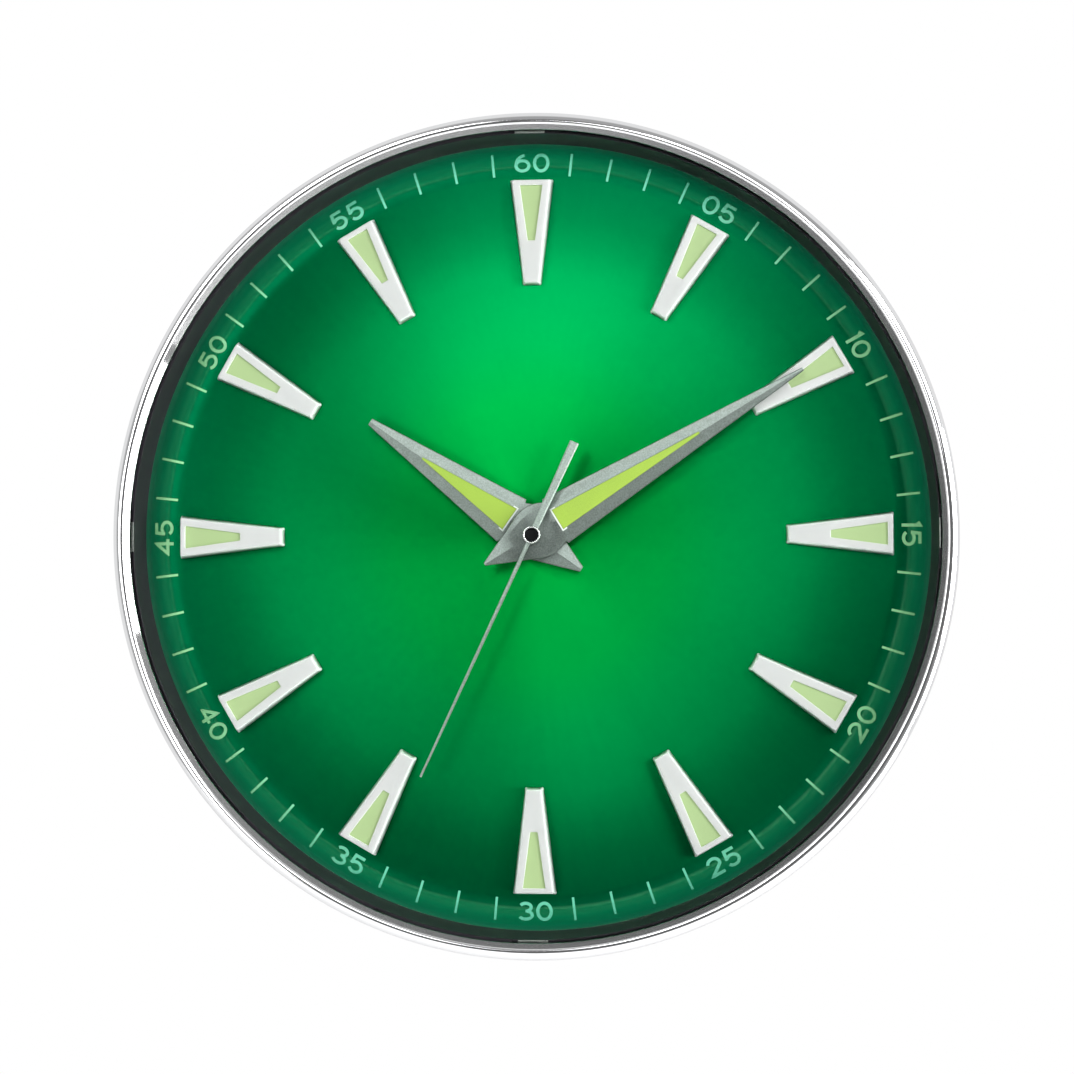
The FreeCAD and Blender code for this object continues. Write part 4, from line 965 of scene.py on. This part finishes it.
def make_hands():
    """Hour and minute hand: a lip at the slot, the blade, and its luminous fill."""
    for shape, body in zip(HANDS, ("hour", "minute")):
        lip = new_piece(f"{shape.node}_slot_lip", turned_to(make_slot_lip(shape), shape.bearing),
                        "hand_silver", body, look="pad_white")
        shade(lip, LIP_SHARP_ANGLE)
        blade = new_piece(f"{shape.node}_blade", turned_to(make_hand_mesh(shape), shape.bearing),
                          "hand_silver", body, replaces=[shape.node])
        shade(blade, BLADE_SHARP_ANGLE)
        fill = new_piece(f"{shape.node}_lume", turned_to(make_inlay_mesh(shape), shape.bearing),
                         "lume_yellow", body, replaces=[f"{shape.node}_inlay"])
        shade(fill)


SECOND_BEARING = 205.0
HUB_SEGMENTS = 96
HUB_RADIUS = 3.1
HUB_FOOT_ROUND = 0.3
CUP_RADIUS = 2.4
CUP_FLOOR = 0.9
ARBOR_RADIUS = 0.6
NEEDLE_THICKNESS = 0.6
NEEDLE_ROOT = HUB_RADIUS - 0.3
# Each end of these is (half width, distance from the axis).
COUNTERWEIGHT = [(1.65, -35.8), (1.15, -NEEDLE_ROOT)]
NEEDLE = [(0.75, NEEDLE_ROOT), (0.375, 93.3)]


def make_hub(back, front, floor):
    """Open cup with a rounded rim, and a near-black well in it over the arbor's end: painted shade
    in the hole.
    """
    rim_round = (HUB_RADIUS - CUP_RADIUS) / 2
    section = [(ARBOR_RADIUS, back), (HUB_RADIUS - HUB_FOOT_ROUND, back),
               (HUB_RADIUS, back + HUB_FOOT_ROUND)]
    section += arc((HUB_RADIUS - rim_round, front - rim_round), rim_round, 0, 180, 10)
    section += [(CUP_RADIUS, floor), (ARBOR_RADIUS, floor)]
    hub = new_piece("second_hand_hub", lathe(section, HUB_SEGMENTS), "hand_silver", "seconds",
                    look="hub_ring", replaces=["second_hand"])
    shade(hub)
    # The well is a near-black disc of painted shade in the cup.
    wall = CUP_RADIUS - 0.02
    base, cap, rim = floor + 0.55, floor + 0.7, floor + 1.05
    cap_edge, rim_edge = CUP_RADIUS - 0.5, CUP_RADIUS - 0.15
    well = [(0.0, cap), (cap_edge, cap), (rim_edge, rim), (wall, rim), (wall, base), (0.0, base)]
    shade(new_piece("second_hand_shade_well", lathe(well, HUB_SEGMENTS, closed=False), "hand_silver",
                    "seconds", look="hub_shadow"))
    return hub


def make_second_hand():
    """Hub cup, a thin needle and a wider counterweight."""
    back, front = back_depth("second_hand"), front_depth("second_hand")
    floor = back + CUP_FLOOR
    hub = make_hub(back, front, floor)
    mesh = bmesh.new()
    for ends in (COUNTERWEIGHT, NEEDLE):
        rings = []
        for half, along in ends:
            edge, shoulder = NEEDLE_THICKNESS * 0.55, NEEDLE_THICKNESS * 0.92
            crown = half * 0.7
            ring = [(half, 0.0), (half, edge), (crown, shoulder), (0.0, NEEDLE_THICKNESS),
                    (-crown, shoulder), (-half, edge), (-half, 0.0)]
            rings.append([mesh.verts.new(Vector((across * MM, -(floor + height) * MM, along * MM)))
                          for across, height in ring])
        skin_rings(mesh, rings)
        cap_ends(mesh, rings)
    shade(new_piece("second_hand_needle", turned_to(mesh, SECOND_BEARING), "hand_silver",
                    "seconds", look="second_silver"), 20.0)
    hub.data.transform(Matrix.Rotation(math.radians(SECOND_BEARING), 4, "Y"))


# ---------------------------------------------------------------- carried-over CAD nodes

def finish_cad_nodes():
    """Every CAD node that stays gets its slot's material."""
    record = frame["record"]
    slots = {part["node"]: part["material_slot"] for part in record["subparts"]}
    for node, piece in frame["nodes"].items():
        look = LOOKS[slots[node]]
        if piece.data.materials:
            for index in range(len(piece.data.materials)):
                piece.data.materials[index] = look
        else:
            piece.data.materials.append(look)


# ---------------------------------------------------------------- stage, light and camera
# Lengths here are in metres.

FLOOR_RADIUS = 1.1
FLOOR_HEIGHT = -0.6
WORLD_LEVELS = [
    # (0 straight in front to 1 straight behind, brightness)
    (0.0, 0.14),
    (0.02, 0.14),
    (0.10, 0.38),
    (0.24, 0.38),
    (0.42, 0.80),
    (0.955, 0.80),
    (0.985, 0.35),
    (1.0, 0.35),
]
SOFTBOX_DISTANCE = 1.6
SOFTBOXES = [
    # (name, bearing, tilt from straight ahead, size in metres, power in watts)
    ("low_right_softbox", 105.0, 65.0, (0.55, 1.3), 18.4),
    ("right_softbox", 75.0, 50.0, (0.55, 1.2), 19.7),
    ("left_softbox", 255.0, 35.0, (0.55, 1.0), 5.1),
    ("upper_left_softbox", 315.0, 35.0, (0.55, 1.0), 9.4),
    ("front_softbox", 30.0, 20.0, (0.55, 0.55), 4.2),
    ("low_softbox", 170.0, 76.0, (0.5, 1.6), 10.0),
    ("edge_right_softbox", 95.0, 81.0, (0.25, 1.2), 7.0),
]
CAMERA_DISTANCE = 0.622
CAMERA_OFFSET = (0.0369, -0.0133)
CAMERA_AIM = (0.0013, -0.00054)
CAMERA_LENS = 58.75
CAMERA_ROLL = -0.25


def make_floor():
    """Plain pale disc well below the clock."""
    mesh = bmesh.new()
    bmesh.ops.create_circle(mesh, cap_ends=True, segments=96, radius=FLOOR_RADIUS)
    bmesh.ops.translate(mesh, verts=mesh.verts, vec=(0.0, 0.0, FLOOR_HEIGHT))
    data = bpy.data.meshes.new("studio_floor")
    mesh.to_mesh(data)
    mesh.free()
    floor = bpy.data.objects.new("studio_floor", data)
    bpy.context.scene.collection.objects.link(floor)
    data.materials.append(grained("pale_floor", (0.82, 0.82, 0.82), 0.8, grain=20.0, contrast=0.02))


def make_world():
    """White studio: plain white to the camera, dimmer in front and darkest straight ahead."""
    world = bpy.data.worlds.new("studio")
    bpy.context.scene.world = world
    world.use_nodes = True
    tree = world.node_tree
    nodes, links = tree.nodes, tree.links
    background = nodes["Background"]
    direction = nodes.new("ShaderNodeTexCoord").outputs["Generated"]
    split = nodes.new("ShaderNodeSeparateXYZ")
    links.new(direction, split.inputs[0])
    ramp = nodes.new("ShaderNodeValToRGB")
    ramp.color_ramp.interpolation = "EASE"
    spread = nodes.new("ShaderNodeMapRange")
    spread.inputs["From Min"].default_value = -1.0
    spread.inputs["From Max"].default_value = 1.0
    links.new(split.outputs[1], spread.inputs["Value"])
    links.new(spread.outputs[0], ramp.inputs[0])
    while len(ramp.color_ramp.elements) < len(WORLD_LEVELS):
        ramp.color_ramp.elements.new(1.0)
    for element, (position, level) in zip(ramp.color_ramp.elements, WORLD_LEVELS):
        element.position = position
        element.color = (level, level, level, 1.0)
    seen = nodes.new("ShaderNodeLightPath").outputs["Is Camera Ray"]
    mix = nodes.new("ShaderNodeMix")
    mix.data_type = "RGBA"
    links.new(seen, mix.inputs["Factor"])
    links.new(ramp.outputs[0], mix.inputs["A"])
    mix.inputs["B"].default_value = (1.0, 1.0, 1.0, 1.0)
    links.new(mix.outputs["Result"], background.inputs["Color"])


def add_softbox(name, bearing, tilt, size, power):
    """Rectangular lamp seen from the dial at a bearing and a tilt away from straight ahead;
    its longer side lies along the bearing's circle."""
    aim = Vector((0.0, -DIAL_DEPTH * MM, 0.0))
    around, away = math.radians(bearing), math.radians(tilt)
    outward = Vector((math.sin(around), 0.0, math.cos(around)))
    place = aim + SOFTBOX_DISTANCE * (outward * math.sin(away) - Vector((0.0, math.cos(away), 0.0)))
    axis_z = (place - aim).normalized()
    axis_y = Vector((math.cos(around), 0.0, -math.sin(around)))
    axis_x = axis_y.cross(axis_z)
    light = bpy.data.lights.new(name, "AREA")
    light.shape = "RECTANGLE"
    light.size, light.size_y = size
    light.energy = power
    lamp = bpy.data.objects.new(name, light)
    lamp.matrix_world = Matrix((axis_x, axis_y, axis_z)).transposed().to_4x4()
    lamp.location = place
    lamp.visible_camera = False
    bpy.context.scene.collection.objects.link(lamp)


def make_camera():
    """Near view from slightly to the right and slightly below the middle."""
    camera_data = bpy.data.cameras.new("view")
    camera_data.lens = CAMERA_LENS
    camera = bpy.data.objects.new("view", camera_data)
    dial = -DIAL_DEPTH * MM
    camera.location = (CAMERA_OFFSET[0], dial - CAMERA_DISTANCE, CAMERA_OFFSET[1])
    aim = Vector((CAMERA_AIM[0], dial, CAMERA_AIM[1])) - camera.location
    roll = Quaternion((0.0, 0.0, 1.0), math.radians(CAMERA_ROLL))
    camera.rotation_mode = "QUATERNION"
    camera.rotation_quaternion = aim.to_track_quat("-Z", "Y") @ roll
    bpy.context.scene.collection.objects.link(camera)
    bpy.context.scene.camera = camera
    bpy.context.scene.view_settings.view_transform = "Standard"


make_camera()
make_world()
for softbox in SOFTBOXES:
    add_softbox(*softbox)
make_floor()
finish_cad_nodes()
make_bezel()
make_lens()
make_surround()
make_dial()
make_print()
make_markers()
make_hands()
make_second_hand()
